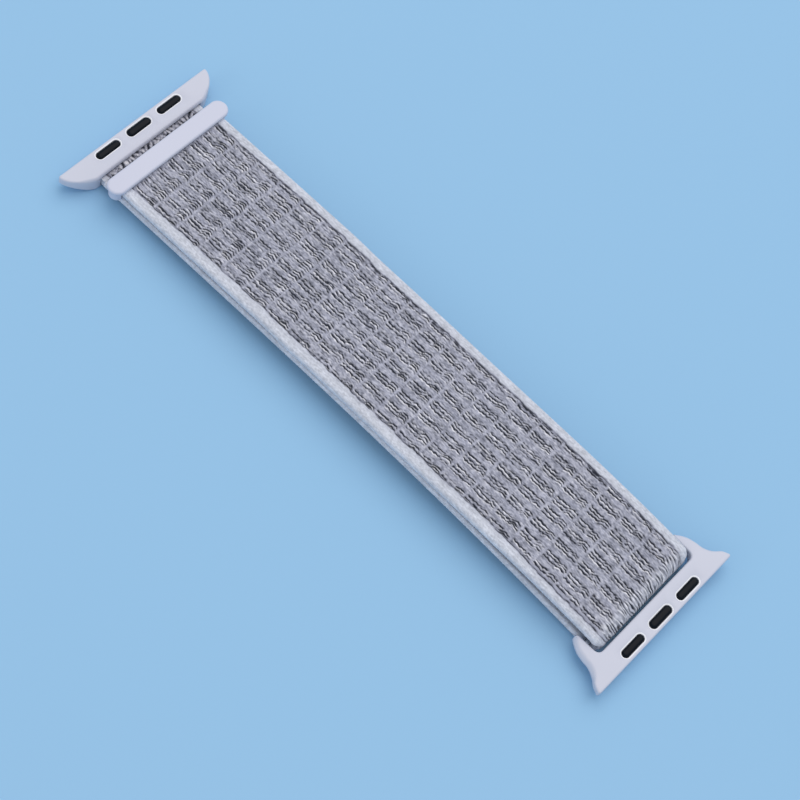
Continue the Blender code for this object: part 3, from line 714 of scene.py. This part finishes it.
    # Stitched line beside the field, and the pale selvage beyond it, with painted shade next to the line, and
    # painted light on the fold's crown
    edge = np.abs(across)
    knots = np.where(across > 0, wide, narrow)
    line_at = np.where(across > 0, STITCH_LINES[0], STITCH_LINES[1] + 0.5 * eased((along - 25) / 18))
    line_at = line_at + 0.08 * (1 - knots) + 0.2 * (sway - 0.5) + 0.2 * (wobble - 0.5)
    stitch_reach = 0.08 + 0.12 * knots * (0.3 + breaks) + 0.06 * fine
    stitch = np.clip(0.2 + 1.5 * breaks, 0, 1) * bell(edge - line_at, stitch_reach)
    pale = eased((edge - line_at - 0.12) / 0.16)
    teeth = wave(along - 0.6 * edge, RIDGE_PITCH)
    # Flecks of the selvage, and painted shade on it next to the stitched line
    flecks_and_stitch_shade = 0.12 * fuzz + 0.25 * fine + 0.05 * teeth + 0.22 * (1 - eased((edge - line_at) / 1.2))
    # Painted light on the fold's crown, in the selvage's colour
    painted_fold_light = 0.3 * folded * (1 - strand_dark) * (1 - pale)
    # Tones of the yarns, with painted shade beside the ribs, and painted glint specks
    tone = in_group * wide * (0.12 + 0.2 * row_tones[(wide_index.astype(int) + FIRST_COLUMN) % COLUMNS, row])
    tone = tone + 0.15 * in_group * narrow + 0.07 * painted_rib_shade + 0.05 * (1 - picks) / 2 - 0.05 * ribs
    tone = tone + 0.4 * (fuzz - 0.5) + 0.25 * (breaks - 0.5) + 0.5 * (fine - 0.5)
    shade = np.clip(np.maximum(dark, 0.95 * stitch) + tone * inside, 0, 1) * (1 - pale) + 0.08 * pale * fuzz
    # Painted glint specks: on the ribs, and where the grains are lowest
    sparkle = 0.1 * ribs * sway + 0.35 * np.clip(0.45 - fuzz, 0, 1) + 0.6 * np.clip(0.4 - fine, 0, 1)
    painted_glint = np.clip(painted_glint + inside * sparkle, 0, 1)
    # Relief: the floats stand up, the dashes and the stitched line lie low
    relief = 0.01 * picks + 0.03 * ribs + 0.03 * (wide + narrow) * inside + 0.04 * painted_glint + 0.02 * (fuzz - 0.5)
    relief = relief - settings.dash_depth / MM * dark - 0.08 * stitch
    relief = relief * (1 - pale) + pale * (0.03 + 0.018 * teeth + 0.04 * (fine - 0.5))
    tones = {"dark": shade, "pale": pale * (1 - flecks_and_stitch_shade) + painted_fold_light, "painted_glint": painted_glint * (1 - dark) * (1 - pale)}
    return relief, tones


def layer_section(step):
    """Return a layer's closed section: place across, offset towards the outer face, and the normal's parts.

    The outer face runs from left to right, then a rounded selvage, the inner face back, and the other
    selvage.
    """
    flat = STRAP_HALF - SELVAGE_ROUND
    outer = np.linspace(-flat, flat, int(2 * flat / step))
    inner = np.linspace(flat, -flat, int(0.7 * flat / step))
    turn = np.linspace(0, np.pi, 13)[1:-1]
    side, face = np.sin(turn), np.cos(turn)
    top = np.stack([outer, outer * 0 + LAYER_HALF, outer * 0, outer * 0 + 1])
    right = np.stack([flat + SELVAGE_ROUND * side, LAYER_HALF * face, side, face])
    under = np.stack([inner, inner * 0 - LAYER_HALF, inner * 0, inner * 0 - 1])
    return np.concatenate([top, right, under, -right], axis=1)


def cloth(name, along, middle, outward, seed, half=STRAP_HALF):
    """Make a length of strap: its section carried along middle points, offset in the outward direction.

    along is each ring's distance along the strap, middle and outward are X and Z pairs, and half is the
    strap's half width at each ring. The inner face has a weaker weave, and the selvages have ridges. A
    slightly smaller ring closes each end, with the even dark tone of cut cloth.
    """
    across, offset, side, face = layer_section(bpy.context.scene.strap_weave.step_across / MM)
    along = along[:, None]
    relief, tones = weave(along, across[None, :], seed)
    inner_relief, inner_tones = weave(along + INNER_SHIFT, across[None, :], seed + INNER_SEED)
    on_inner = face < -0.999
    relief = np.where(on_inner, 0.7 * inner_relief - 0.06, relief)
    ridges = 0.02 + 0.02 * wave(along - 0.5 * offset, RIDGE_PITCH)
    relief = np.where(np.abs(face) > 0.999, relief, ridges)
    tones = {key: np.where(on_inner, inner_tones[key], tones[key]) for key in tones}
    y = (across + side * relief) * (np.reshape(half, (-1, 1)) / STRAP_HALF)
    out = offset + face * relief
    x = middle[0][:, None] + outward[0][:, None] * out
    z = middle[1][:, None] + outward[1][:, None] * out
    rings = np.stack([x, np.broadcast_to(y, x.shape), z], -1)
    centres = np.stack([middle[0], 0 * middle[0], middle[1]], -1)[[0, -1], None]
    first, last = centres + (rings[[0, -1]] - centres) * CUT_RING_SHARE
    rings = np.concatenate([first[None], rings, last[None]])
    cut = {"dark": CUT_DARK, "pale": 0.0, "painted_glint": 0.0}
    tones = {key: np.pad(value, ((1, 1), (0, 0)), constant_values=cut[key]) for key, value in tones.items()}
    return tube(name, rings, woven_nylon(), tones, 60.0)


def run(name, start, end, height, up, seed):
    """Make a straight length of a layer between two places along X. up is 1 where its outer face is above."""
    count = int(abs(end - start) / (bpy.context.scene.strap_weave.step_along / MM)) + 1
    x = np.linspace(start, end, count)
    around = 2 * SLOTTED_BAR[0] + np.pi * FOLD_MIDDLE
    along = x if up > 0 else around - x
    none = np.zeros(count)
    return cloth(name, along, (x, height(x)), (none, none + up), seed)


def lay_lengths(make, start, lengths, bodies, height, slot):
    """Make lengths end to end along a layer."""
    for (name, end, line, reach, nodes), first, second in zip(lengths, bodies, bodies[1:]):
        piece = make(name, start, end)
        before, after = ((x * MM, 0.0, float(height(x)) * MM) for x in (line + reach[0], line - reach[1]))
        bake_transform(piece)
        fit(piece, slot, *nodes)
        start = end


class STRAP_OT_layers(bpy.types.Operator):
    """Make the strap's lower and upper layer in lengths, end to end"""

    bl_idname = "strap.layers"
    bl_label = "Layers"

    def execute(self, context):
        for lengths, bodies, height, up, seed in (
            (LOWER_LENGTHS, LOWER_BODIES, lower_height, -1, LOWER_SEED),
            (UPPER_LENGTHS, UPPER_BODIES, upper_height, 1, UPPER_SEED),
        ):
            make = functools.partial(run, height=height, up=up, seed=seed)
            lay_lengths(make, SLOTTED_BAR[0], lengths, bodies, height, "woven_nylon")
        return {"FINISHED"}


class STRAP_OT_fold(bpy.types.Operator):
    """Make the half turn round the slotted lug's bar, narrowed at its crown"""

    bl_idname = "strap.fold"
    bl_label = "Fold"

    def execute(self, context):
        bar_x, bar_z = SLOTTED_BAR
        turn = np.linspace(np.pi / 2, -np.pi / 2, 49)
        outward = (np.cos(turn), np.sin(turn))
        middle = (bar_x + FOLD_MIDDLE * outward[0], bar_z + FOLD_MIDDLE * outward[1])
        along = bar_x + FOLD_MIDDLE * (np.pi / 2 - turn)
        beyond = np.clip((FOLD_MIDDLE + LAYER_HALF) * outward[0] - FOLD_SQUARE, 0.0, FOLD_CORNER)
        half = STRAP_HALF - FOLD_CORNER + np.sqrt(FOLD_CORNER**2 - beyond**2)
        piece = cloth("fold_cloth", along, middle, outward, UPPER_SEED, half)
        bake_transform(piece)
        fit(piece, "woven_nylon", "strap_fold")
        return {"FINISHED"}


class STRAP_OT_sewn_end(bpy.types.Operator):
    """Make the sewn end: a woven channel round the fixed lug's bar that runs out into the layer"""

    bl_idname = "strap.sewn_end"
    bl_label = "Sewn end"

    def execute(self, context):
        rows, half_columns = 72, 140
        turn = np.linspace(0, 2 * np.pi, rows, endpoint=False)
        reach = SEWN_END_X - FIXED_BAR[0]
        cosine, sine = np.cos(turn)[:, None], np.sin(turn)[:, None]
        tongue = np.minimum(LAYER_HALF / np.maximum(np.abs(sine), 1e-6), reach / np.maximum(cosine, 1e-6))
        outer = np.where(cosine > 0, np.maximum(tongue, EYE_OUTER), EYE_OUTER)
        width = np.linspace(-SEWN_HALF, SEWN_HALF, half_columns)
        loop = np.concatenate([width, width[::-1]])
        on_outer = np.repeat([1.0, 0.0], half_columns)[None, :]
        x = FIXED_BAR[0] + outer * cosine
        relief, tones = weave(SEWN_ALONG + SEWN_END_X - x, loop[None, :], LOWER_SEED)
        radius = on_outer * (outer - 0.03 + 0.5 * relief) + (1 - on_outer) * EYE_INNER
        x = FIXED_BAR[0] + radius * cosine
        z = FIXED_BAR[1] + radius * sine
        points = np.stack([x, np.broadcast_to(loop, x.shape), z], -1)
        ends = np.arange(len(loop))
        after = np.roll(ends, -1)
        last = (rows - 1) * len(loop)
        closing = np.stack([ends + last, after + last, after, ends], -1)
        faces = np.concatenate([grid_faces(rows, len(loop)), closing]).tolist()
        piece = new_piece("sewn_end_cloth", points.reshape(-1, 3), faces, woven_nylon(), tones, 60.0)
        fit(piece, "woven_nylon", "strap_sewn_end", body="fixed_end_of_strap")
        return {"FINISHED"}


class STRAP_OT_hook_strip(bpy.types.Operator):
    """Make the two lengths of hook strip under the free end, a thin tape with rows of moulded hooks"""

    bl_idname = "strap.hook_strip"
    bl_label = "Hook strip"

    def execute(self, context):
        bodies = UPPER_BODIES[3:]
        lay_lengths(hook_strip, PATCH_X, HOOK_LENGTHS, bodies, upper_height, "moulded_nylon_hooks")
        return {"FINISHED"}


def hook_strip(name, start, end):
    """Make a tape with rows of hooks: a flat strip along the strap's curve, and a hook at each grid place.

    A hook's side outline is a stem that leans over, carried across its width, and its foot stands in the
    tape. Each row leans the other way from the row before it.
    """
    rows = 40
    x = np.linspace(start, end, rows)
    top = upper_height(x) - LAYER_HALF - PATCH_GAP
    corners = ((-PATCH_HALF, 0.0), (PATCH_HALF, 0.0), (PATCH_HALF, -TAPE), (-PATCH_HALF, -TAPE))
    strip = np.stack([np.stack([x, x * 0 + y, top + drop], -1) for y, drop in corners], 1).reshape(-1, 3)
    faces = grid_faces(rows, 4).tolist() + [[0, 1, 2, 3], list(range(len(strip) - 4, len(strip)))]
    outline = np.array(HOOK_TOP + HOOK_TIP)
    count = len(outline)
    hook = np.insert(np.tile(outline, (2, 1)), 1, np.repeat([-HOOK_HALF, HOOK_HALF], count), axis=1)
    at_x = np.arange(start - 0.5, end + 0.4, -HOOK_PITCH[0])
    at_y = np.arange(-PATCH_HALF + 0.4, PATCH_HALF - 0.3, HOOK_PITCH[1])
    grid_x, grid_y = (part.ravel() for part in np.meshgrid(at_x, at_y, indexing="ij"))
    low = upper_height(grid_x) - LAYER_HALF - PATCH_GAP - TAPE
    turned = np.where(np.round((grid_y + PATCH_HALF) / HOOK_PITCH[1]).astype(int) % 2 == 0, 1.0, -1.0)
    points = hook[None] * np.stack([turned, turned * 0 + 1, turned * 0 + 1], -1)[:, None]
    points = points + np.stack([grid_x, grid_y, low], -1)[:, None]
    ring = np.arange(count)
    after = np.roll(ring, -1)
    quads = np.stack([ring, after, after + count, ring + count], -1)
    base = len(strip) + 2 * count * np.arange(len(grid_x))[:, None]
    faces += (base[..., None] + quads).reshape(-1, 4).tolist()
    faces += (base + ring).tolist() + (base + ring + count).tolist()
    return new_piece(name, np.concatenate([strip, points.reshape(-1, 3)]), faces, hook_nylon())


# Lugs, pads and the end tab


def pill_ring(size, height, x=0.0, y=0.0, count=64):
    """Return a pill-shaped ring, long in Y: a circle whose two halves are drawn apart."""
    long, wide = size
    turn = (np.arange(count) + 0.5) * 2 * np.pi / count
    radius = wide / 2
    reach = np.sign(np.sin(turn)) * (long / 2 - radius)
    return np.stack([x + radius * np.cos(turn), y + radius * np.sin(turn) + reach, 0 * turn + height], -1)


def inset_pill(size, inset):
    """Return a pill's size after its outline moves in."""
    return (size[0] - 2 * inset, size[1] - 2 * inset)


def rounded_rim(radius, top, steps=6):
    """Return insets and heights of a rounded upper rim: a quarter circle that ends level."""
    turn = np.linspace(0, np.pi / 2, steps)
    return [(radius * (1 - np.cos(a)), top - radius + radius * np.sin(a)) for a in turn]


def smooth_through(points, steps):
    """Return a Catmull-Rom curve through the points, with the ends included."""
    control = np.array([points[0], *points, points[-1]], float)
    p, q, r, s = (control[i : len(control) - 3 + i, None] for i in range(4))
    t = np.linspace(0, 1, steps, endpoint=False)[None, :, None]
    curve = 2 * q + (r - p) * t + (2 * p - 5 * q + 4 * r - s) * t**2 + (3 * q - p - 3 * r + s) * t**3
    return np.concatenate([0.5 * curve.reshape(-1, 2), control[-1:]])


def arc(centre, radius, start, end, steps=16):
    """Return points along an arc, its angles in degrees."""
    turn = np.radians(np.linspace(start, end, steps))
    return np.stack([centre[0] + radius * np.cos(turn), centre[1] + radius * np.sin(turn)], -1)


def even_loop(half):
    """Mirror half an outline, space its points evenly, and soften its corners by a bell-curve mean."""
    loop = np.concatenate([half, half[::-1] * (1, -1)])
    closed = np.concatenate([loop, loop[:1]])
    steps = np.hypot(*np.diff(closed, axis=0).T)
    closed = closed[np.concatenate([[True], steps > 1e-6])]
    steps = np.hypot(*np.diff(closed, axis=0).T)
    travelled = np.concatenate([[0], np.cumsum(steps)])
    places = np.linspace(0, travelled[-1], OUTLINE_POINTS, endpoint=False)
    even = np.stack([np.interp(places, travelled, closed[:, i]) for i in (0, 1)], -1)
    sigma = OUTLINE_SOFTNESS / (travelled[-1] / OUTLINE_POINTS)
    shifts = np.arange(-24, 25)
    window = np.exp(-0.5 * (shifts / sigma) ** 2)
    window /= window.sum()
    return sum(weight * np.roll(even, shift, axis=0) for weight, shift in zip(window, shifts))


def fixed_lug_plan():
    """Plan of the fixed lug from its outer wall at X zero: a canoe whose ends curve in to the strap."""
    turn = np.linspace(np.pi / 32, np.pi / 2, 60)
    share = np.sin(turn)
    reach = (1 - share**2) ** FIXED_END_POWER
    end = np.stack([FIXED_DEPTH * share, FIXED_SHOULDER + (LUG_TIP - FIXED_SHOULDER) * reach], -1)
    return np.concatenate([arc((0.3, LUG_TIP - 0.3), 0.3, 180, 100), end])


def slotted_lug_plan():
    """Plan of the slotted lug from its outer wall at X zero: a rail, and two flared ears beside the strap."""
    flare = LUG_TIP - SLOT_HALF
    ear = [(-SLOTTED_DEPTH * u, SLOT_HALF + flare * v) for u, v in EAR_SHARES]
    ear_end = arc((EAR_END_ROUND - SLOTTED_DEPTH, SLOT_HALF + EAR_END_ROUND), EAR_END_ROUND, 180, 270)
    corner = arc((-SLOTTED_RAIL - SLOT_CORNER, SLOT_HALF - SLOT_CORNER), SLOT_CORNER, 90, 0)
    return np.concatenate([[(0.0, LUG_TIP - 0.25)], smooth_through(ear, 16), ear_end, corner])


def lug_shell(name, plan, outer_x, pad_x, settings, soft, lift):
    """Make a lug: its plan's outline carried up over rounded rims, with seats and a stepped lock chamber.

    The outline moves in along its own normal by each ring's inset. Flat faces are filled between the rings.
    soft gives how much rounder the upper rim is at each point, and lift how far the underside rises at each
    Y. The underside is cut across in narrow strips near the tips, so that it can curve.
    """
    outline = even_loop(plan)
    tangent = np.roll(outline, -2, axis=0) - np.roll(outline, 2, axis=0)
    normal = np.stack([tangent[:, 1], -tangent[:, 0]], -1) / np.hypot(*tangent.T)[:, None]
    after = np.roll(outline, -1, axis=0)
    area = np.sum(outline[:, 0] * after[:, 1] - outline[:, 1] * after[:, 0])
    low = settings.bottom_round / MM
    high = settings.top_round / MM
    softer = soft(outline)
    turn = np.linspace(0, np.pi / 2, 6)[:, None] + 0 * softer
    inset = [low * (1 - np.sin(turn))]
    height = [low * (1 - np.cos(turn))]
    turn = np.linspace(0, np.pi / 2, 8)[:, None]
    inset.append(high * (1 + SOFT_RIM_WIDER * softer) * (1 - np.cos(turn)))
    height.append(LUG_THICKNESS - high * (1 + SOFT_RIM_TALLER * softer) * (1 - np.sin(turn)))
    inset, height = (np.concatenate(parts)[..., None] for parts in (inset, height))
    rings = np.concatenate([outline - inset * normal * np.sign(area) + (outer_x, 0), height], -1)
    chamber = [
        *seat_levels(BUTTON),
        (STEM_SLOT, SEAT_FLOOR),
        (STEM_SLOT, LEDGE_HEIGHT),
        (CHAMBER, LEDGE_HEIGHT),
        (CHAMBER, PLATE_TOP),
        (PLATE_RECESS, PLATE_TOP),
        (PLATE_RECESS, 0.0),
    ]
    seats = [pill_rings(seat_levels(PAD), pad_x, side * PAD_PITCH) for side in (-1, 1)]
    mesh, loops = lofted_mesh(name, [rings, *seats, pill_rings(chamber, pad_x)])
    edit = bmesh.new()
    edit.from_mesh(mesh)
    edit.verts.ensure_lookup_table()
    for _, floor in loops[1:3]:
        edit.faces.new([edit.verts[i] for i in floor])
    fill_between(edit, [loops[0][1], *(top for top, _ in loops[1:])])
    fill_between(edit, [loops[0][0], loops[3][1]])
    for place in (*LIFT_CUTS, *-LIFT_CUTS):
        parts = [face for face in edit.faces if all(vertex.co.z < 1e-6 for vertex in face.verts)]
        parts += [part for face in parts for part in (*face.edges, *face.verts)]
        parts = list(dict.fromkeys(parts))
        bmesh.ops.bisect_plane(edit, geom=parts, plane_co=(0, place, 0), plane_no=(0, 1, 0))
    bmesh.ops.recalc_face_normals(edit, faces=edit.faces)
    edit.to_mesh(mesh)
    edit.free()
    points = np.zeros(3 * len(mesh.vertices), np.float32)
    mesh.vertices.foreach_get("co", points)
    x, y, z = points.reshape(-1, 3).T.astype(float)
    z = z + lift(np.abs(y)) * np.maximum(0.0, 1 - z / LIFT_HEIGHT)
    mesh.vertices.foreach_set("co", np.stack([x, y, z], -1).ravel() * MM)
    return mesh_object(name, mesh, sprayed_alloy())


def lofted_mesh(name, lofts):
    """Return a mesh of open walls, each an array of rings, and the indices of each one's end rings.

    The mesh's rim attribute, which takes a painted highlight, is 1 on the first band of each wall but the
    outer one.
    """
    faces, rim, loops = [], [], []
    start = 0
    for rings in lofts:
        rows, columns = rings.shape[:2]
        faces.append(grid_faces(rows, columns) + start)
        rim.append(np.arange(len(faces[-1])) < (columns if start else 0))
        ring = np.arange(start, start + columns)
        loops.append((ring, ring + (rows - 1) * columns))
        start += rows * columns
    mesh = bpy.data.meshes.new(name)
    points = np.concatenate([rings.reshape(-1, 3) for rings in lofts])
    mesh.from_pydata(points.tolist(), [], np.concatenate(faces).tolist())
    marks = np.concatenate(rim).astype(np.float32)
    mesh.attributes.new("rim", "FLOAT", "FACE").data.foreach_set("value", marks)
    return mesh, loops


def fill_between(edit, loops):
    """Fill the flat area between an outer loop of vertex indices and the loops inside it."""
    pairs = [pair for loop in loops for pair in zip(np.roll(loop, 1), loop)]
    edges = [edit.edges.get((edit.verts[a], edit.verts[b])) for a, b in pairs]
    bmesh.ops.triangle_fill(edit, use_beauty=True, edges=edges, normal=(0.0, 0.0, 1.0))


def seat_levels(size):
    """Return the pill levels of the seat for a pad of a size: a cut rim, a straight wall and the floor."""
    wall = inset_pill(size, -SEAT_GAP)
    rim = inset_pill(wall, -SEAT_RIM_WIDTH)
    return [(rim, LUG_THICKNESS), (wall, LUG_THICKNESS - SEAT_RIM_DEPTH), (wall, SEAT_FLOOR)]


def pill_rings(levels, x, y=0.0):
    """Return an array of pill rings, each from a size and a height."""
    return np.stack([pill_ring(size, height, x, y) for size, height in levels])


def pill_piece(name, levels, x, y, material):
    """Make a closed piece from pill rings, with flat ends."""
    return tube(name, pill_rings(levels, x, y), material, sharp=50.0)


def crown(size, top):
    """Return the pill levels of a crown: a quarter ellipse from its side up to its level middle."""
    wide, tall = PAD_ROUND
    turns = np.linspace(0, np.pi / 2, 12)
    return [(inset_pill(size, wide * (1 - np.cos(a))), top - tall * (1 - np.sin(a))) for a in turns]


class STRAP_OT_lugs(bpy.types.Operator):
    """Make the two lugs' bodies"""

    bl_idname = "strap.lugs"
    bl_label = "Lugs"

    def execute(self, context):
        settings = context.scene.strap_hardware
        fixed = lug_shell(
            "fixed_lug_shell",
            fixed_lug_plan(),
            -HALF_LENGTH,
            -PAD_X,
            settings,
            lambda outline: 0.5 * eased((outline[:, 0] - 2.6) / 1.2),
            lambda y: 1.5 * eased((y - 11.5) / 4.4),
        )
        x, z = FIXED_BAR
        mouth = x + POCKET_REACH
        back = arc((x, z), POCKET_RADIUS, 90, 270, 40)
        hollow = np.concatenate([back, [(mouth, z - POCKET_RADIUS), (mouth, z + POCKET_RADIUS)]])
        walls = np.stack([np.insert(hollow, 1, y, axis=1) for y in (-POCKET_HALF, POCKET_HALF)])
        subtract(fixed, tube("pocket", walls, sprayed_alloy()))
        slotted = lug_shell(
            "slotted_lug_shell",
            slotted_lug_plan(),
            HALF_LENGTH,
            PAD_X,
            settings,
            lambda outline: eased((-1.2 - outline[:, 0]) / 2.0) * eased((np.abs(outline[:, 1]) - 11.3) / 0.8),
            lambda y: 1.7 * eased((y - 9.5) / 3.2),
        )
        for piece, side in ((fixed, "fixed_lug"), (slotted, "slotted_lug")):
            fit(piece, "coated_lug_alloy", side + "_body", body=side)
        return {"FINISHED"}


class STRAP_OT_pads(bpy.types.Operator):
    """Make the friction pads and the lock buttons of both lugs"""

    bl_idname = "strap.pads"
    bl_label = "Pads and lock buttons"

    def execute(self, context):
        for side, x in SIDES:
            for hand, y in (("left", -PAD_PITCH), ("right", PAD_PITCH)):
                levels = [(PAD, SEAT_FLOOR + 0.05), *crown(PAD, PAD_TOP)]
                pad = pill_piece(f"{side}_pad_{hand}", levels, x, y, black_rubber())
                fit(pad, "black_pad_rubber", f"{side}_friction_pad_{hand}", body=side)
            levels = [*BUTTON_LEVELS, *crown(BUTTON, BUTTON_TOP)]
            button = pill_piece(side + "_button", levels, x, 0.0, black_rubber())
            fit(button, "black_pad_rubber", side + "_lock_button", body=side + "_lock")
        return {"FINISHED"}


class STRAP_OT_end_tab(bpy.types.Operator):
    """Make the end tab's top bar and its bottom bar with two end posts"""

    bl_idname = "strap.end_tab"
    bl_label = "End tab"

    def execute(self, context):
        size = (TAB_LENGTH, TAB_WIDTH)
        low, high = (corner.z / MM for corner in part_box("end_tab_top_bar"))
        levels = [(inset_pill(size, TAB_UNDER_ROUND), low), (size, low + TAB_UNDER_ROUND)]
        levels += [(inset_pill(size, inset), z) for inset, z in rounded_rim(TAB_ROUND, high - TAB_CROWN, 8)]
        inward = TAB_WIDTH / 2 - TAB_ROUND
        for share in (0.3, 0.6, 0.9):
            levels.append((inset_pill(size, TAB_ROUND + inward * share), high - TAB_CROWN * (1 - share)))
        top = pill_piece("tab_top_bar", levels, TAB_X, 0.0, tab_nylon())
        low, high = (corner.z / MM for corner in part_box("end_tab_bottom_bar"))
        slimmer = inset_pill(size, TAB_SET_IN)
        rim = rounded_rim(TAB_LOWER_RIM, high)[::-1]
        levels = [(inset_pill(slimmer, inset), low + high - z) for inset, z in rim]
        levels += [(slimmer, high - TAB_UPPER_RIM), (inset_pill(slimmer, TAB_UPPER_RIM), high)]
        bottom = pill_piece("tab_bottom_bar", levels, TAB_X, 0.0, tab_nylon())
        bay = [(TAB_X + x * TAB_BAY[0], y * TAB_BAY[1]) for x, y in CORNERS]
        walls = np.array([[(x, y, z) for x, y in bay] for z in (low + TAB_FLOOR, high + 1.0)])
        subtract(bottom, tube("bay", walls, tab_nylon()))
        for piece, node_name in ((top, "end_tab_top_bar"), (bottom, "end_tab_bottom_bar")):
            fit(piece, "moulded_tab_plastic", node_name, body="free_end")
        return {"FINISHED"}


class STRAP_OT_springs(bpy.types.Operator):
    """Make the coil spring below each lock button"""

    bl_idname = "strap.springs"
    bl_label = "Lock springs"

    def execute(self, context):
        low, high = SPRING_HEIGHTS
        turn = np.linspace(0, 2 * np.pi * SPRING_TURNS, 91)[:, None]
        round_wire = np.linspace(0, 2 * np.pi, 10, endpoint=False)[None, :]
        radius = SPRING_RADIUS + SPRING_WIRE * np.cos(round_wire)
        height = low + (high - low) * turn / turn[-1] + SPRING_WIRE * np.sin(round_wire)
        for side, x in SIDES:
            rings = np.stack([x + radius * np.cos(turn), radius * np.sin(turn), height], -1)
            piece = tube(side + "_coil_spring", rings, drawn_steel())
            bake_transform(piece)
            fit(piece, "spring_steel", side + "_lock_spring")
        return {"FINISHED"}


class STRAP_OT_small_parts(bpy.types.Operator):
    """Give the crossbars, base plates and pegs their finishes"""

    bl_idname = "strap.small_parts"
    bl_label = "Small parts"

    def execute(self, context):
        finishes = {"crossbar": drawn_steel(), "base_plate": sprayed_alloy(), "peg": tab_nylon()}
        for name, obj in frame["nodes"].items():
            for word, material in finishes.items():
                if word in name:
                    for slot in obj.material_slots:
                        slot.material = material
        return {"FINISHED"}


class STRAP_OT_studio(bpy.types.Operator):
    """Make the camera, the floor, the even light and the two soft lamps"""

    bl_idname = "strap.studio"
    bl_label = "Studio"

    def execute(self, context):
        scene = context.scene
        settings = scene.strap_studio
        data = bpy.data.cameras.new("camera")
        data.lens = settings.lens
        data.sensor_width = 36.0
        data.clip_start = 0.005
        scene.camera = add_object("camera", data)
        turn_and_place(scene.camera, CAMERA_AXES, np.array(CAMERA_PLACE) * MM)
        scene.view_settings.view_transform = "Standard"
        floor_piece(tuple(settings.floor))
        even_light(tuple(settings.floor), settings.room_light)
        soft_lamp("key_lamp", *KEY_LAMP, settings.key_power)
        soft_lamp("fill_lamp", *FILL_LAMP, settings.fill_power)
        return {"FINISHED"}


def turn_and_place(obj, axes, place):
    """Turn an object so that its own X, Y and Z lie along three axes, and put it at a place."""
    matrix = np.eye(4)
    matrix[:3] = np.stack([*axes, place], 1)
    obj.matrix_world = Matrix(matrix.tolist())


def floor_piece(tint):
    """Plain pale painted card: even, and dull."""
    material, add, _ = new_material("painted_card")
    finished(material, add, {"Base Color": tint, "Roughness": 0.9, "Specular IOR Level": 0.1})
    mesh = bpy.data.meshes.new("floor")
    corners = [(x * FLOOR_REACH, y * FLOOR_REACH, -FLOOR_DROP) for x, y in CORNERS]
    mesh.from_pydata(corners, [], [(0, 1, 2, 3)])
    mesh_object("floor", mesh, material)


def even_light(tint, strength):
    """Light from all round, with the floor's colour where the camera or a reflection sees past the floor."""
    world = bpy.data.worlds.new("room")
    bpy.context.scene.world = world
    add = emptied(world)
    white = add("Background", {"Color": ROOM_TINT, "Strength": strength})
    seen = add("Background", {"Color": tint, "Strength": 1.0})
    rays = add("LightPath").outputs
    reflected = {0: rays["Is Glossy Ray"], 1: rays["Is Transmission Ray"]}
    reflected = add("Math", reflected, operation="ADD").outputs[0]
    looked = {0: rays["Is Camera Ray"], 1: reflected}
    factor = add("Math", looked, operation="ADD", use_clamp=True).outputs[0]
    pick = add("MixShader", {0: factor, 1: white.outputs[0], 2: seen.outputs[0]})
    add("OutputWorld", {"Surface": pick.outputs[0]})


def soft_lamp(name, place, size, tint, power):
    """Add a round soft lamp that faces the strap.

    The key lamp is large and beyond the strap's upper right, so that the shade falls towards the lower
    left, and the fill lamp is low on that side, for the strap's edge.
    """
    data = bpy.data.lights.new(name, "AREA")
    data.shape = "DISK"
    data.size = size
    data.energy = power
    data.color = tint
    lamp = add_object(name, data)
    lamp.visible_camera = False
    aim = np.array(place) / np.linalg.norm(place)
    side = np.cross((0.0, 0.0, 1.0), aim)
    side /= np.linalg.norm(side)
    turn_and_place(lamp, (side, np.cross(aim, side), aim), place)


OPERATORS = (
    STRAP_OT_studio,
    STRAP_OT_layers,
    STRAP_OT_fold,
    STRAP_OT_sewn_end,
    STRAP_OT_hook_strip,
    STRAP_OT_lugs,
    STRAP_OT_pads,
    STRAP_OT_end_tab,
    STRAP_OT_springs,
    STRAP_OT_small_parts,
)


class VIEW3D_PT_watch_strap(bpy.types.Panel):
    """Lists the strap's operators and settings"""

    bl_label = "Watch strap"
    bl_space_type = "VIEW_3D"
    bl_region_type = "UI"
    bl_category = "Watch strap"

    def draw(self, context):
        for operator in OPERATORS:
            self.layout.operator(operator.bl_idname)
        for group in GROUPS:
            settings = getattr(context.scene, group)
            for key in settings.bl_rna.properties.keys()[2:]:
                self.layout.prop(settings, key)


GROUPS = {"strap_weave": WeaveSettings, "strap_hardware": HardwareSettings, "strap_studio": StudioSettings}
CLASSES = (*GROUPS.values(), *OPERATORS, VIEW3D_PT_watch_strap)


def register():
    for each in CLASSES:
        bpy.utils.register_class(each)
    for name, group in GROUPS.items():
        setattr(bpy.types.Scene, name, bpy.props.PointerProperty(type=group))


def unregister():
    for name in GROUPS:
        delattr(bpy.types.Scene, name)
    for each in reversed(CLASSES):
        bpy.utils.unregister_class(each)


def main():
    """Make everything in order."""
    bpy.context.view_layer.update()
    register()
    for operator in OPERATORS:
        group, name = operator.bl_idname.split(".")
        getattr(getattr(bpy.ops, group), name)()


if __name__ == "__main__":
    main()
